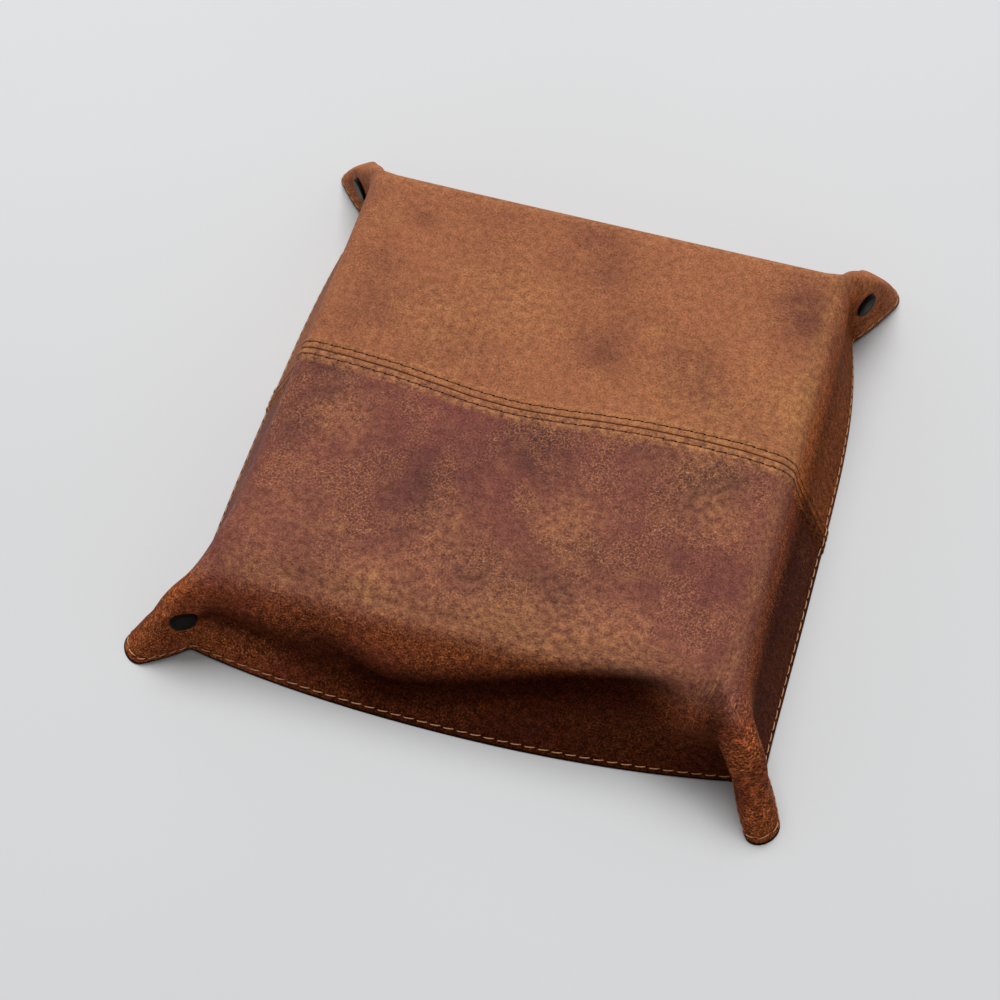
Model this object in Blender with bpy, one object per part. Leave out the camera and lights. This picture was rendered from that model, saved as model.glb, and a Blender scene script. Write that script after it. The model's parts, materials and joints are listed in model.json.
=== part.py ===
"""Square leather tray with four snap corners, standing upside down. +Z points out of its underside.

One flat sheet with rounded corners is folded into a shallow dish. Each corner is pinched into a hollow ear,
and a press stud holds the ear's two leaves together. The leaf that carries the cap swings about the ear's
ridge when it is unsnapped.

Natural coordinates (X, Y) run from -2 to 2 over the sheet: the base lies within 1, a wall runs from 1 to the
rim at 2, and where both pass 1 is an ear, whose ridge is the diagonal. Flat coordinates (u, v) are metres on
the flat sheet.
"""

import math

import bmesh
import bpy
import numpy as np
from mathutils import Matrix, Vector

# The sheet and its fold
BASE_SIDE = 0.203
HEIGHT = 0.049
SHEET_CORNER = 0.020
CREASE_SHIFT = 0.011
WALLS = {
    "front": {"flare": 0.0234, "bow": 0.25, "fullness": 2.2, "skew": -0.12},
    "right": {"flare": 0.0187, "bow": 0.20, "fullness": 3.6, "skew": -0.10},
    "back": {"flare": 0.0188, "bow": 0.40, "fullness": 3.0, "skew": 0.0},
    "left": {"flare": 0.0188, "bow": 0.40, "fullness": 3.0, "skew": 0.0},
}
CORNERS = {
    "front_left": {
        "sign": (-1, -1), "notch": (0.0124, 0.0108), "tip": (0.0332, 0.0243), "arch": 0.09, "opens": "y"
    },
    "front_right": {
        "sign": (1, -1), "notch": (0.0130, 0.0082), "tip": (0.0250, 0.0334), "arch": 0.02, "opens": "x"
    },
    "back_right": {
        "sign": (1, 1), "notch": (0.0030, 0.0048), "tip": (0.0205, 0.0370), "arch": 0.18, "opens": "x"
    },
    "back_left": {
        "sign": (-1, 1), "notch": (0.0066, 0.0128), "tip": (0.0268, 0.0344), "arch": 0.12, "opens": "x"
    },
}
NOTCH_LIFT = 0.0012
NOTCH_SHARPNESS = 10
EAR_HALF = 0.0066
CREASE_HALF = 0.0042
RIM_SPREAD = 0.0027
RIM_SPREAD_FROM = 0.55
RIM_SPREAD_OVER = 0.5
BRIM = 0.0032
BRIM_FROM = 0.7
BRIM_OVER = 0.35
EDGE_BEND = 0.0075
FRONT_BEND = 0.013
FRONT_BEND_STARTS = 0.040
FRONT_BEND_OVER = 0.030
EAR_BEND = 0.002
EAR_BEND_BEFORE = 0.008
EAR_BEND_OVER = 0.014
EAR_OPENS = 0.008
CREASE_OPENS = 0.007
LAYER_OPENS = 0.005

# Leather, lining and thread
OUTER_THICKNESS = 0.0015
LINING_THICKNESS = 0.0008
CLEARANCE = 0.0003
LINING_LIFT = 0.0002
THREAD_RADIUS = 0.00035
RIM_STITCH = 0.003
RIDGE_STITCH = 0.0012
SEAM_Y = 0.003
SEAM_WANDER = -0.006
WANDER_MIDDLE = -0.15
WANDER_WIDTH = 0.45
SEAM_STITCH = 0.0031
STRIP_HALF = 0.0054
STRIP_STEP = 0.0005
STRIP_RISE = 0.0006

# The leaf that opens
LEAF_START = 0.008
CREASE_STUB = 0.0025
LEAF_LIFT = 0.0004
LEAF_TAPER = 0.5
HINGE_CLEARANCE = 0.0003

# Press studs
CAP_RADIUS = 0.0056
CAP_HEIGHT = 0.0016
BARREL_RADIUS = 0.0017
HOLE_RADIUS = 0.0022
SOCKET_RADIUS = 0.0043
SOCKET_HEIGHT = 0.0026
SOCKET_FLOOR = 0.0005
STUD_FLANGE_RADIUS = 0.0042
STUD_FLANGE = 0.0008
STUD_RADIUS = 0.0022
STUD_HEIGHT = 0.0020
STUD_PLAY = 0.0005
POST_RADIUS = 0.0048
POST_HEIGHT = 0.0010
SNAP_FROM_CREASE = 0.008
SNAP_DOWN = 0.0323
SNAP_SEAT = 0.0090
SEAT_EASE = 0.006
CAP_SIDE = 0.0009
CAP_DOME = 0.0003
CAP_CORNER = 0.0004
CAP_FACE_INSET = 0.0012
SOCKET_WAIST = 0.0012
SOCKET_BRIM = 0.0006
SOCKET_BRIM_SLOPE = 0.0003
STUD_WAIST = 0.0003
STUD_NOSE = 0.0005
POST_CORNER = 0.0004

# Where the meshes have their lines inwards from the base's edge, and the steps round a turned piece
BASE_LINES = (0.004, 0.008, 0.014, 0.032, 0.060)
ROUND_STEPS = 16
CAP_STEPS = 24
RIDGE_SAMPLES = 12
SEAT_STEP = 0.05
STRAIGHT_TURN = 0.15

# Worked out from the sizes above
HALF = BASE_SIDE / 2
FLARE = sum(wall["flare"] for wall in WALLS.values()) / len(WALLS)
WALL = math.hypot(HEIGHT, FLARE)
CORNER_SHARE = 1 - SHEET_CORNER / WALL
CORNER_RUN = WALL * (CORNER_SHARE + (1 - CORNER_SHARE) * math.pi / 4)
EAR_RUN = CORNER_RUN - CREASE_SHIFT
LINING_DEPTH = OUTER_THICKNESS + CLEARANCE
LEAF_DEPTH = LINING_DEPTH + LINING_THICKNESS
SNAP_DROP = SNAP_DOWN / WALL
SNAP_FLAT = SNAP_SEAT * math.sqrt(0.5)
SNAP_HALF = LEAF_DEPTH + (SOCKET_HEIGHT + STUD_FLANGE + 3 * CLEARANCE) / 2
CREASE_CUT = CREASE_STUB / EAR_RUN
LEAF_CUT = LEAF_START / WALL
STITCH_LINE = 1 - RIM_STITCH / WALL
THREAD_GAP = 3 * THREAD_RADIUS


def smooth(x):
    """0 to 1 with level ends."""
    x = np.clip(x, 0, 1)
    return x * x * (3 - 2 * x)


def flat(X, Y):
    """Natural to flat coordinates. The sheet's corner is round, and each wall widens towards the rim."""
    X, Y = np.broadcast_arrays(np.asarray(X, float), np.asarray(Y, float))
    wide, high = np.abs(X), np.abs(Y)
    sx, sy = np.maximum(wide - 1, 0), np.maximum(high - 1, 0)
    drop, less = np.maximum(sx, sy), np.minimum(sx, sy)
    turn = less / np.maximum(drop, 1e-12)
    run = drop * (CREASE_SHIFT + turn * EAR_RUN)
    straight = CORNER_SHARE * WALL * drop
    radius = (1 - CORNER_SHARE) * WALL * drop
    angle = np.maximum(run - straight, 0) / np.maximum(radius, 1e-12)
    along = np.where(run <= straight, run, straight + radius * np.sin(angle))
    out = np.where(run <= straight, WALL * drop, straight + radius * np.cos(angle))
    ear = less > 0
    y_side = sy >= sx
    wide_in, high_in = np.minimum(wide, 1), np.minimum(high, 1)
    u_wall = np.where(y_side, wide_in * (HALF + CREASE_SHIFT * sy), HALF * wide_in + WALL * sx)
    v_wall = np.where(y_side, HALF * high_in + WALL * sy, high_in * (HALF + CREASE_SHIFT * sx))
    u = np.copysign(np.where(ear, HALF + np.where(y_side, along, out), u_wall), X)
    v = np.copysign(np.where(ear, HALF + np.where(y_side, out, along), v_wall), Y)
    inside = np.clip(1 - X**2, 0, 1) * np.clip(1 - Y**2, 0, 1) ** 2
    return u, v + SEAM_WANDER * inside * np.exp(-(((X - WANDER_MIDDLE) / WANDER_WIDTH) ** 2))


def bowed(side, s):
    """Share of a wall's flare reached s of the way down: below s where the wall bows outwards."""
    bow = WALLS[side]["bow"]
    return (1 - bow) * s + bow * s * s


def grown(distance):
    """How far a layer's own depth counts: 0 at the base's corner, where the ear closes, 1 away from it."""
    return 1 - np.exp(-np.maximum(distance, 0) / LAYER_OPENS)


def inset(s, depth):
    """How far inwards a layer this deep lies on a wall, s of the way down."""
    return depth * (WALL - FLARE * (1 - s)) / HEIGHT


def across(corner):
    """Level direction square to the ear, from its x side to its y side."""
    (sx, sy), (tx, ty) = corner["sign"], corner["tip"]
    return np.array([-sx * ty, sy * tx, 0]) / math.hypot(tx, ty)


def crease_half(s, depth):
    """Half of the ear's width at the notch."""
    x = np.maximum(s, 0) * WALL
    spread = RIM_SPREAD * smooth((s - RIM_SPREAD_FROM) / RIM_SPREAD_OVER)
    return CREASE_HALF * (1 - np.exp(-x / CREASE_OPENS)) + spread - depth * grown(x)


def foot(corner, s, depth):
    """Middle of the notch where the two walls meet the ear, s of the way down."""
    (sx, sy), (nx, ny) = corner["sign"], corner["notch"]
    x_bow = bowed("right" if sx > 0 else "left", s)
    y_bow = bowed("front" if sy < 0 else "back", s)
    inward = inset(s, depth) - math.sqrt(0.5) * depth * grown(s * WALL)
    z = (HEIGHT - depth) * (1 - s) + NOTCH_LIFT * np.clip(s, 0, 2) ** 3
    return np.stack([sx * (HALF + x_bow * nx - inward), sy * (HALF + y_bow * ny - inward), z], -1)


def wall_point(side, t, s, depth):
    """Point of a wall: between its two creases, and bulging to its full flare in the middle."""
    y_side = side in ("front", "back")
    sign = -1 if side in ("front", "left") else 1
    level, upright = (1, 0) if y_side else (0, 1)
    ends = sorted((c for c in CORNERS.values() if c["sign"][level] == sign), key=lambda c: c["sign"][upright])
    half = (crease_half(s, depth) * (1 if y_side else -1))[:, None]
    first, last = (foot(corner, s, depth) + half * across(corner) for corner in ends)
    share = ((t + 1) / 2)[:, None]
    point = first * (1 - share) + last * share
    t = np.clip(t, -1, 1)
    wall = WALLS[side]
    bulge = 1 - np.abs(t - wall["skew"] * (1 - t * t)) ** wall["fullness"]
    full = sign * (HALF + bowed(side, s) * wall["flare"] - inset(s, depth))
    point[:, level] = point[:, level] * (1 - bulge) + full * bulge
    level_z = (HEIGHT - depth) * (1 - s)
    point[:, 2] = level_z + (point[:, 2] - level_z) * np.abs(t) ** NOTCH_SHARPNESS
    return point


def fallen(from_ridge, drop, depth):
    """How far a leaf has come down from the ridge: round an arc, then straight."""
    radius = EAR_HALF * (1 - np.exp(-drop / EAR_OPENS))
    inner = radius - depth * grown(drop)
    turn = np.minimum(from_ridge / radius, math.pi / 2)
    return inner * (1 - np.cos(turn)) + np.maximum(from_ridge - radius * math.pi / 2, 0), inner * np.sin(turn)


def ear_plane(corner):
    """Middle of the press stud between the leaves, and the direction square to it, towards the y side."""
    low, high = [], []
    for m in (SNAP_DROP - SEAT_STEP, SNAP_DROP, SNAP_DROP + SEAT_STEP):
        low.append(foot(corner, m, 0))
        high.append(ridge_point(corner, m, 0))
    drop, run = SNAP_DROP * WALL, SNAP_DROP * EAR_RUN
    rise = 1 - fallen(run - SNAP_FROM_CREASE, drop, 0)[0] / fallen(run, drop, 0)[0]
    along = (low[2] - low[0]) * (1 - rise) + (high[2] - high[0]) * rise
    square = np.cross(along, high[1] - low[1])
    square *= math.copysign(1, square @ across(corner)) / np.linalg.norm(square)
    return low[1] * (1 - rise) + high[1] * rise, square


def ear_point(corner, p, r, depth):
    """Point of an ear, p and r past the base's edges. A leaf turns over the ridge, then runs down."""
    y_side = r >= p
    most, least = np.maximum(p, r), np.minimum(p, r)
    k = CORNER_SHARE
    total, squares = p + r, p * p + r * r
    root = np.sqrt(np.maximum(k * k * total * total - (k * k + 2 * k - 1) * squares, 0))
    drop = np.where(least <= k * most, most, squares / (k * total + root))
    angle = np.arctan2(least - k * drop, most - k * drop)
    run = np.where(least <= k * most, least, k * drop + (1 - k) * drop * angle)
    m = drop / WALL
    leaf_run = EAR_RUN * m
    from_ridge = np.clip(CORNER_RUN * m - run, 0, leaf_run)
    come_down, arc = fallen(from_ridge, drop, depth)
    rise = 1 - come_down / fallen(leaf_run, drop, depth)[0]
    share = from_ridge / leaf_run
    brim = BRIM * smooth((m - BRIM_FROM) / BRIM_OVER) * (1 - share**2) * share
    half = arc * (1 - share**2) + crease_half(m, depth) * share**2 + brim
    near = np.hypot(drop - SNAP_DROP * WALL, from_ridge - (leaf_run - SNAP_FROM_CREASE))
    seat = smooth((SNAP_SEAT + SEAT_EASE - near) / SEAT_EASE)
    half = half * (1 - seat) + (SNAP_HALF - depth) * seat
    low = foot(corner, m, depth)
    point = low + (ridge_point(corner, m, depth) - low) * rise[:, None]
    middle, square = ear_plane(corner)
    seat = seat[:, None]
    point = point - seat * ((point - middle) @ square)[:, None] * square
    sideways = across(corner) * (1 - seat) + square * seat
    return point + (np.where(y_side, 1.0, -1.0) * half)[:, None] * sideways


def ridge_point(corner, m, depth):
    """Point of the ear's ridge, m of the way from the base's corner to the tip."""
    (sx, sy), (tx, ty) = corner["sign"], corner["tip"]
    reach = math.hypot(tx, ty)
    early = 1 - grown(m * WALL)
    back = depth * (math.hypot(reach, HEIGHT) - (1 - m) * reach) / HEIGHT / reach * (1 - early)
    along = m + corner["arch"] * m * (1 - m)
    rest = HALF - inset(0, depth) * early
    x, y = sx * (rest + tx * (along - back)), sy * (rest + ty * (along - back))
    return np.stack([x, y, (HEIGHT - depth) * (1 - m) + HEIGHT * (along - m)], -1)


def fold(u, v, depth):
    """Where flat coordinates go when a layer this deep is folded with sharp creases."""
    shrink = 1 - inset(0, depth) / HALF
    points = np.stack([u * shrink, v * shrink, HEIGHT - depth], -1)
    p, r = np.abs(u) - HALF, np.abs(v) - HALF
    y_wall = (r > 0) & (p * WALL <= CREASE_SHIFT * r)
    x_wall = (p > 0) & (r * WALL <= CREASE_SHIFT * p)
    sides = {
        "front": y_wall & (v < 0),
        "back": y_wall & (v >= 0),
        "left": x_wall & (u < 0),
        "right": x_wall & (u >= 0),
    }
    for side, here in sides.items():
        if here.any():
            past, other = (r, u) if side in ("front", "back") else (p, v)
            s = past[here] / WALL
            points[here] = wall_point(side, other[here] / (HALF + CREASE_SHIFT * s), s, depth[here])
    ear = (p > 0) & (r > 0) & ~y_wall & ~x_wall
    for corner in CORNERS.values():
        here = ear & (u * corner["sign"][0] > 0) & (v * corner["sign"][1] > 0)
        if here.any():
            points[here] = ear_point(corner, p[here], r[here], depth[here])
    return points


def surface(u, v, depth=0.0):
    """The folded sheet with rounded creases: a point is the mean of the sharp fold over a disc around it."""
    u, v, depth = (np.array(a, float) for a in np.broadcast_arrays(u, v, depth))
    inward = np.minimum(np.abs(u), np.abs(v)) - HALF
    front = smooth((FRONT_BEND_STARTS - v - HALF) / FRONT_BEND_OVER)
    edge = EDGE_BEND + (FRONT_BEND - EDGE_BEND) * front
    bend = edge + (EAR_BEND - edge) * smooth((inward + EAR_BEND_BEFORE) / EAR_BEND_OVER)
    points = fold(u, v, depth)
    total = 1.0
    for radius, count, weight in ((0.35, 6, 0.95), (0.68, 12, 0.75), (1.0, 18, 0.45)):
        for angle in 2 * math.pi * (np.arange(count) + 0.5 * (count % 4 == 0)) / count:
            du, dv = radius * math.cos(angle) * bend, radius * math.sin(angle) * bend
            points = points + weight * fold(u + du, v + dv, depth)
            total += weight
    return points / total


def sheet_lines(middle):
    """Natural coordinates of the mesh lines, from -2 to 2."""
    seat = [SNAP_DROP - SNAP_FLAT / WALL, SNAP_DROP, SNAP_DROP + SNAP_FLAT / WALL]
    walls = [CREASE_CUT, LEAF_CUT, (SNAP_FROM_CREASE + SNAP_FLAT) / EAR_RUN, *seat, STITCH_LINE, 1]
    half = [1 - d / HALF for d in reversed(BASE_LINES)] + [1.0] + [1 + s for s in walls]
    return np.array([-x for x in reversed(half)] + list(middle) + half)


STRIP_FOOT = STRIP_HALF + STRIP_STEP
SEAM_LINES = [SEAM_Y + d for d in (-STRIP_FOOT, -STRIP_HALF, 0, STRIP_HALF, STRIP_FOOT)]
X_LINES = sheet_lines([0.0])
Y_LINES = sheet_lines([y / HALF for y in SEAM_LINES])
OUTLINE = surface(*flat(*np.meshgrid(X_LINES, Y_LINES)))
CENTRE = np.array([*(OUTLINE.min((0, 1)) + OUTLINE.max((0, 1)))[:2] / 2, 0])


def placed(X, Y, depth=0.0):
    """Natural coordinates to world coordinates, with the footprint's middle at the origin."""
    return surface(*flat(X, Y), depth) - CENTRE


def material(name, colour, roughness, metallic=0.0):
    made = bpy.data.materials.new(name)
    made.use_nodes = True
    shader = made.node_tree.nodes["Principled BSDF"]
    shader.inputs["Base Color"].default_value = (*colour, 1)
    shader.inputs["Roughness"].default_value = roughness
    shader.inputs["Metallic"].default_value = metallic
    made.diffuse_color = (*colour, 1)
    return made


FINISHES = {
    "rear_leather": ((0.33, 0.13, 0.06), 0.5, 0.0),
    "front_leather": ((0.15, 0.05, 0.03), 0.5, 0.0),
    "lining": ((0.02, 0.015, 0.012), 0.8, 0.0),
    "dark_thread": ((0.04, 0.012, 0.008), 0.7, 0.0),
    "tan_thread": ((0.65, 0.36, 0.19), 0.7, 0.0),
    "gunmetal": ((0.05, 0.045, 0.04), 0.4, 1.0),
}


def add_object(name, data, finish, parent=None, location=(0, 0, 0)):
    made = bpy.data.objects.new(name, data)
    bpy.context.scene.collection.objects.link(made)
    data.materials.append(material(f"{name}_{finish}", *FINISHES[finish]))
    made.parent = parent
    made.location = location
    return made


def triangles():
    """Every triangle of the sheet as three (i, j) line numbers, with its middle in natural coordinates."""
    found = []
    for i in range(len(X_LINES) - 1):
        for j in range(len(Y_LINES) - 1):
            a, b, c, d = (i, j), (i + 1, j), (i + 1, j + 1), (i, j + 1)
            rising = (X_LINES[i] + X_LINES[i + 1]) * (Y_LINES[j] + Y_LINES[j + 1]) > 0
            for corners in ((a, b, c), (a, c, d)) if rising else ((a, b, d), (b, c, d)):
                middle = (sum(X_LINES[k] for k, _ in corners) / 3, sum(Y_LINES[k] for _, k in corners) / 3)
                found.append((corners, middle))
    return found


def opening_leaf(x, y):
    """Name of the corner whose opening leaf holds this point of the sheet, or None."""
    drop, less = max(abs(x), abs(y)) - 1, min(abs(x), abs(y)) - 1
    side = "y" if abs(y) > abs(x) else "x"
    for name, corner in CORNERS.items():
        inside = x * corner["sign"][0] > 0 and y * corner["sign"][1] > 0
        if inside and side == corner["opens"] and drop > LEAF_CUT and less > CREASE_CUT:
            return name
    return None


def trimmed(faces, gap):
    """Flat coordinates of the faces' corners, drawn in by the gap along each cut edge but not at the rim."""
    corners = sorted({corner for face in faces for corner in face})
    u, v = flat(X_LINES[[i for i, _ in corners]], Y_LINES[[j for _, j in corners]])
    place = {corner: np.array([u[k], v[k]]) for k, corner in enumerate(corners)}
    edges = {(face[k], face[(k + 1) % 3]) for face in faces for k in range(3)}
    pulls = {}
    last_x, last_y = len(X_LINES) - 1, len(Y_LINES) - 1
    for a, b in edges:
        if (b, a) in edges:
            continue
        rim = any(a[k] == b[k] and a[k] in (0, last) for k, last in ((0, last_x), (1, last_y)))
        run = place[b] - place[a]
        inward = np.array([-run[1], run[0]]) / np.hypot(*run)
        for end in (a, b):
            pulls.setdefault(end, []).append((inward, 0.0 if rim else gap))
    for corner, found in pulls.items():
        (n1, d1), (n2, d2) = found
        turn = n1[0] * n2[1] - n1[1] * n2[0]
        if abs(turn) < STRAIGHT_TURN:
            shift = (n1 + n2) / 2 * max(d1, d2)
        else:
            shift = np.array([n2[1] * d1 - n1[1] * d2, n1[0] * d2 - n2[0] * d1]) / turn
        place[corner] = place[corner] + shift
    return place, [edge for edge in edges if edge[::-1] not in edges]


def raised(j):
    """How far the turned-under leather lifts the outer face on this mesh line: the strips beside the seam."""
    near = abs(Y_LINES[j] * HALF - SEAM_Y) < STRIP_HALF + STRIP_STEP / 2
    return STRIP_RISE if near else 0.0


def shell(name, faces, top, bottom, lowest, finish, parent=None, pivot=(0, 0, 0)):
    """Closed layer of the folded sheet between two depths. Its rim stands no lower than the floor given.

    The edges of a leaf that opens are cut back the more the deeper they lie, so that it swings clear.
    """
    taper = LEAF_TAPER if parent else 0.0
    place, open_edges = trimmed(faces, CLEARANCE / 2 + taper * top)
    deep_place, _ = trimmed(faces, CLEARANCE / 2 + taper * bottom)
    corners = list(place)
    number = {corner: k for k, corner in enumerate(corners)}
    lift = np.array([raised(j) if top == 0 else 0.0 for _, j in corners])
    outer = surface(*np.array([place[corner] for corner in corners]).T, top - lift)
    inner = surface(*np.array([deep_place[corner] for corner in corners]).T, bottom)
    last_x, last_y = len(X_LINES) - 1, len(Y_LINES) - 1
    rim = np.array([i in (0, last_x) or j in (0, last_y) for i, j in corners])
    inner[rim, 2] = outer[rim, 2]
    points = np.concatenate([outer, inner]) - CENTRE - np.array(pivot)
    points[:, 2] = np.maximum(points[:, 2], lowest - pivot[2])
    count = len(corners)
    made = [[number[c] for c in face] for face in faces]
    made += [[count + number[c] for c in reversed(face)] for face in faces]
    for a, b in open_edges:
        a, b = number[a], number[b]
        made += [[b, a, count + a], [b, count + a, count + b]]
    mesh = bpy.data.meshes.new(name)
    mesh.from_pydata(points.tolist(), [], made)
    mesh.validate()
    return add_object(name, mesh, finish, parent)


def thread(name, route, finish, parent=None, pivot=(0, 0, 0)):
    """Sewing thread along natural coordinates, lying just off the leather and over the raised strips."""
    x, y = np.array(route).T
    strip = np.abs(y * HALF - SEAM_Y) <= STRIP_FOOT + STRIP_STEP / 2
    points = placed(x, y, -STRIP_RISE * strip - CLEARANCE - THREAD_RADIUS) - np.array(pivot)
    curve = bpy.data.curves.new(name, "CURVE")
    curve.dimensions = "3D"
    curve.bevel_depth = THREAD_RADIUS
    curve.bevel_resolution = 1
    curve.use_fill_caps = True
    spline = curve.splines.new("POLY")
    spline.points.add(len(points) - 1)
    for point, place in zip(spline.points, points):
        point.co = (*place, 1)
    return add_object(name, curve, finish, parent)


def snap_frame(corner):
    """Centre of the press stud between the leaves, and the direction of its cap."""
    drop, less = 1 + SNAP_DROP, 1 + SNAP_FROM_CREASE / EAR_RUN
    (sx, sy) = corner["sign"]
    pair = placed(np.array([sx * less, sx * drop]), np.array([sy * drop, sy * less]))
    return pair.mean(0), ear_plane(corner)[1] * (1 if corner["opens"] == "y" else -1)


def hinge_axis(corner):
    """Point and direction of the line that the leaf turns about, just clear of the ridge's outer crest."""
    share = np.linspace(1 + LEAF_CUT, 2, RIDGE_SAMPLES)
    crest = placed(corner["sign"][0] * share, corner["sign"][1] * share)
    run = (crest[-1] - crest[0]) / np.linalg.norm(crest[-1] - crest[0])
    up = np.cross(across(corner), run)
    up *= math.copysign(1, up[2])
    clear = ((crest - crest[0]) @ up).max() + HINGE_CLEARANCE
    point = (crest[0] + crest[-1]) / 2 + up * clear
    outward = snap_frame(corner)[1]
    return point, run * math.copysign(1, np.cross(run, -up) @ outward)


def turned(name, profile, steps, finish, centre, outward, parent=None, pivot=(0, 0, 0)):
    """Body turned about the press stud's axis, from points of (radius, distance outward from the middle)."""
    mesh = bpy.data.meshes.new(name)
    mesh.from_pydata([(r, 0, z) for r, z in profile], [(k, k + 1) for k in range(len(profile) - 1)], [])
    made = add_object(name, mesh, finish, parent, Vector(centre) - Vector(pivot))
    made.rotation_euler = Vector(outward).to_track_quat("Z", "Y").to_euler()
    screw = made.modifiers.new("Turn", "SCREW")
    screw.steps = screw.render_steps = steps
    screw.use_merge_vertices = True
    screw.merge_threshold = 0.00001
    screw.use_smooth_shade = True
    return made


def cap_profile():
    seat = SNAP_HALF + CLEARANCE
    top = seat + CAP_HEIGHT
    rim = CAP_RADIUS - CAP_CORNER
    end = SNAP_HALF - LEAF_DEPTH
    face = CAP_RADIUS - CAP_FACE_INSET
    head = [(0, top), (face, top), (rim, top - CAP_DOME), (CAP_RADIUS, top - CAP_SIDE)]
    back = [(CAP_RADIUS, seat + CAP_CORNER / 2), (rim, seat)]
    return head + back + [(BARREL_RADIUS, seat), (BARREL_RADIUS, end), (0, end)]


def socket_profile():
    top = SNAP_HALF - LEAF_DEPTH - CLEARANCE
    mouth = top - SOCKET_HEIGHT
    bore = STUD_RADIUS + STUD_PLAY
    waist = SOCKET_RADIUS - SOCKET_WAIST
    brim = top - SOCKET_BRIM
    floor = top - SOCKET_FLOOR
    outside = [(0, top), (SOCKET_RADIUS, top), (SOCKET_RADIUS, brim), (waist, brim - SOCKET_BRIM_SLOPE)]
    return outside + [(waist, mouth), (bore, mouth), (bore, floor), (0, floor)]


def stud_profile():
    seat = -(SNAP_HALF - LEAF_DEPTH - CLEARANCE)
    flange = seat + STUD_FLANGE
    top = flange + STUD_HEIGHT
    neck = STUD_RADIUS - STUD_WAIST
    post = [(0, top), (neck, top), (STUD_RADIUS, top - STUD_NOSE), (neck, flange)]
    return post + [(STUD_FLANGE_RADIUS, flange), (STUD_FLANGE_RADIUS, seat), (0, seat)]


def post_profile():
    end = -(SNAP_HALF - LEAF_DEPTH)
    seat = -(SNAP_HALF + CLEARANCE)
    back = seat - POST_HEIGHT
    return [(0, end), (BARREL_RADIUS, end), (BARREL_RADIUS, seat), (POST_RADIUS, seat),
            (POST_RADIUS, back + POST_CORNER), (POST_RADIUS - POST_CORNER, back), (0, back)]


def hole(target, centre, outward, side):
    """Cuts a leaf's rivet hole: side is 1 for the leaf with the cap and -1 for the leaf with the stud."""
    name = f"{target.name}_hole_{len(target.modifiers)}"
    mesh = bpy.data.meshes.new(name)
    shape = bmesh.new()
    size = {"radius1": HOLE_RADIUS, "radius2": HOLE_RADIUS, "depth": 2 * LEAF_DEPTH}
    bmesh.ops.create_cone(shape, cap_ends=True, segments=ROUND_STEPS, **size)
    shape.to_mesh(mesh)
    shape.free()
    cutter = bpy.data.objects.new(name, mesh)
    bpy.context.scene.collection.objects.link(cutter)
    cutter.hide_render = True
    cutter.display_type = "WIRE"
    cutter.location = Vector(centre) + side * (SNAP_HALF - LEAF_DEPTH / 2) * Vector(outward)
    cutter.rotation_euler = Vector(outward).to_track_quat("Z", "Y").to_euler()
    cut = target.modifiers.new("Rivet hole", "BOOLEAN")
    cut.operation = "DIFFERENCE"
    cut.solver = "EXACT"
    cut.object = cutter


def make_layers(hinges):
    """The outer leather and its lining, each in pieces: the tray itself and the four leaves that open."""
    rear_faces, front_faces = [], []
    leaves = {name: [] for name in CORNERS}
    for corners, (x, y) in triangles():
        leaf = opening_leaf(x, y)
        if leaf:
            leaves[leaf].append(corners)
        else:
            (front_faces if y * HALF < SEAM_Y else rear_faces).append(corners)
    rear = shell("outer_rear_panel", rear_faces, 0, OUTER_THICKNESS, 0, "rear_leather")
    front = shell("outer_front_panel", front_faces, 0, OUTER_THICKNESS, 0, "front_leather")
    lining = shell("lining", rear_faces + front_faces, LINING_DEPTH, LEAF_DEPTH, LINING_LIFT, "lining")
    for name, corner in CORNERS.items():
        centre, outward = snap_frame(corner)
        is_front = corner["sign"][1] < 0
        hole(front if is_front else rear, centre, outward, -1)
        hole(lining, centre, outward, -1)
        finish = "front_leather" if is_front else "rear_leather"
        leaf, moving = leaves[name], hinges[name]
        outer = shell(f"{name}_leaf", leaf, 0, OUTER_THICKNESS, LEAF_LIFT, finish, *moving)
        skin = shell(f"{name}_leaf_lining", leaf, LINING_DEPTH, LEAF_DEPTH, LEAF_LIFT, "lining", *moving)
        hole(outer, centre, outward, 1)
        hole(skin, centre, outward, 1)


def make_snaps(hinges):
    """Cap and socket on the leaf that opens, stud and post on the other leaf."""
    for name, corner in CORNERS.items():
        centre, outward = snap_frame(corner)
        moving = hinges[name]
        turned(f"{name}_snap_cap", cap_profile(), CAP_STEPS, "gunmetal", centre, outward, *moving)
        turned(f"{name}_snap_socket", socket_profile(), ROUND_STEPS, "gunmetal", centre, outward, *moving)
        turned(f"{name}_snap_stud", stud_profile(), ROUND_STEPS, "gunmetal", centre, outward)
        turned(f"{name}_snap_post", post_profile(), ROUND_STEPS, "gunmetal", centre, outward)


def make_seam_threads():
    """Two rows of topstitching, one on each side of the centre seam, from rim to rim."""
    edge = 1 + STITCH_LINE - 2 * (THREAD_RADIUS + CLEARANCE) / WALL
    across_tray = [-edge, *(x for x in X_LINES if abs(x) < edge), edge]
    for name, offset in (("rear", SEAM_STITCH), ("front", -SEAM_STITCH)):
        route = [(x, (SEAM_Y + offset) / HALF) for x in across_tray]
        thread(f"seam_stitch_{name}", route, "dark_thread")


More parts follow.
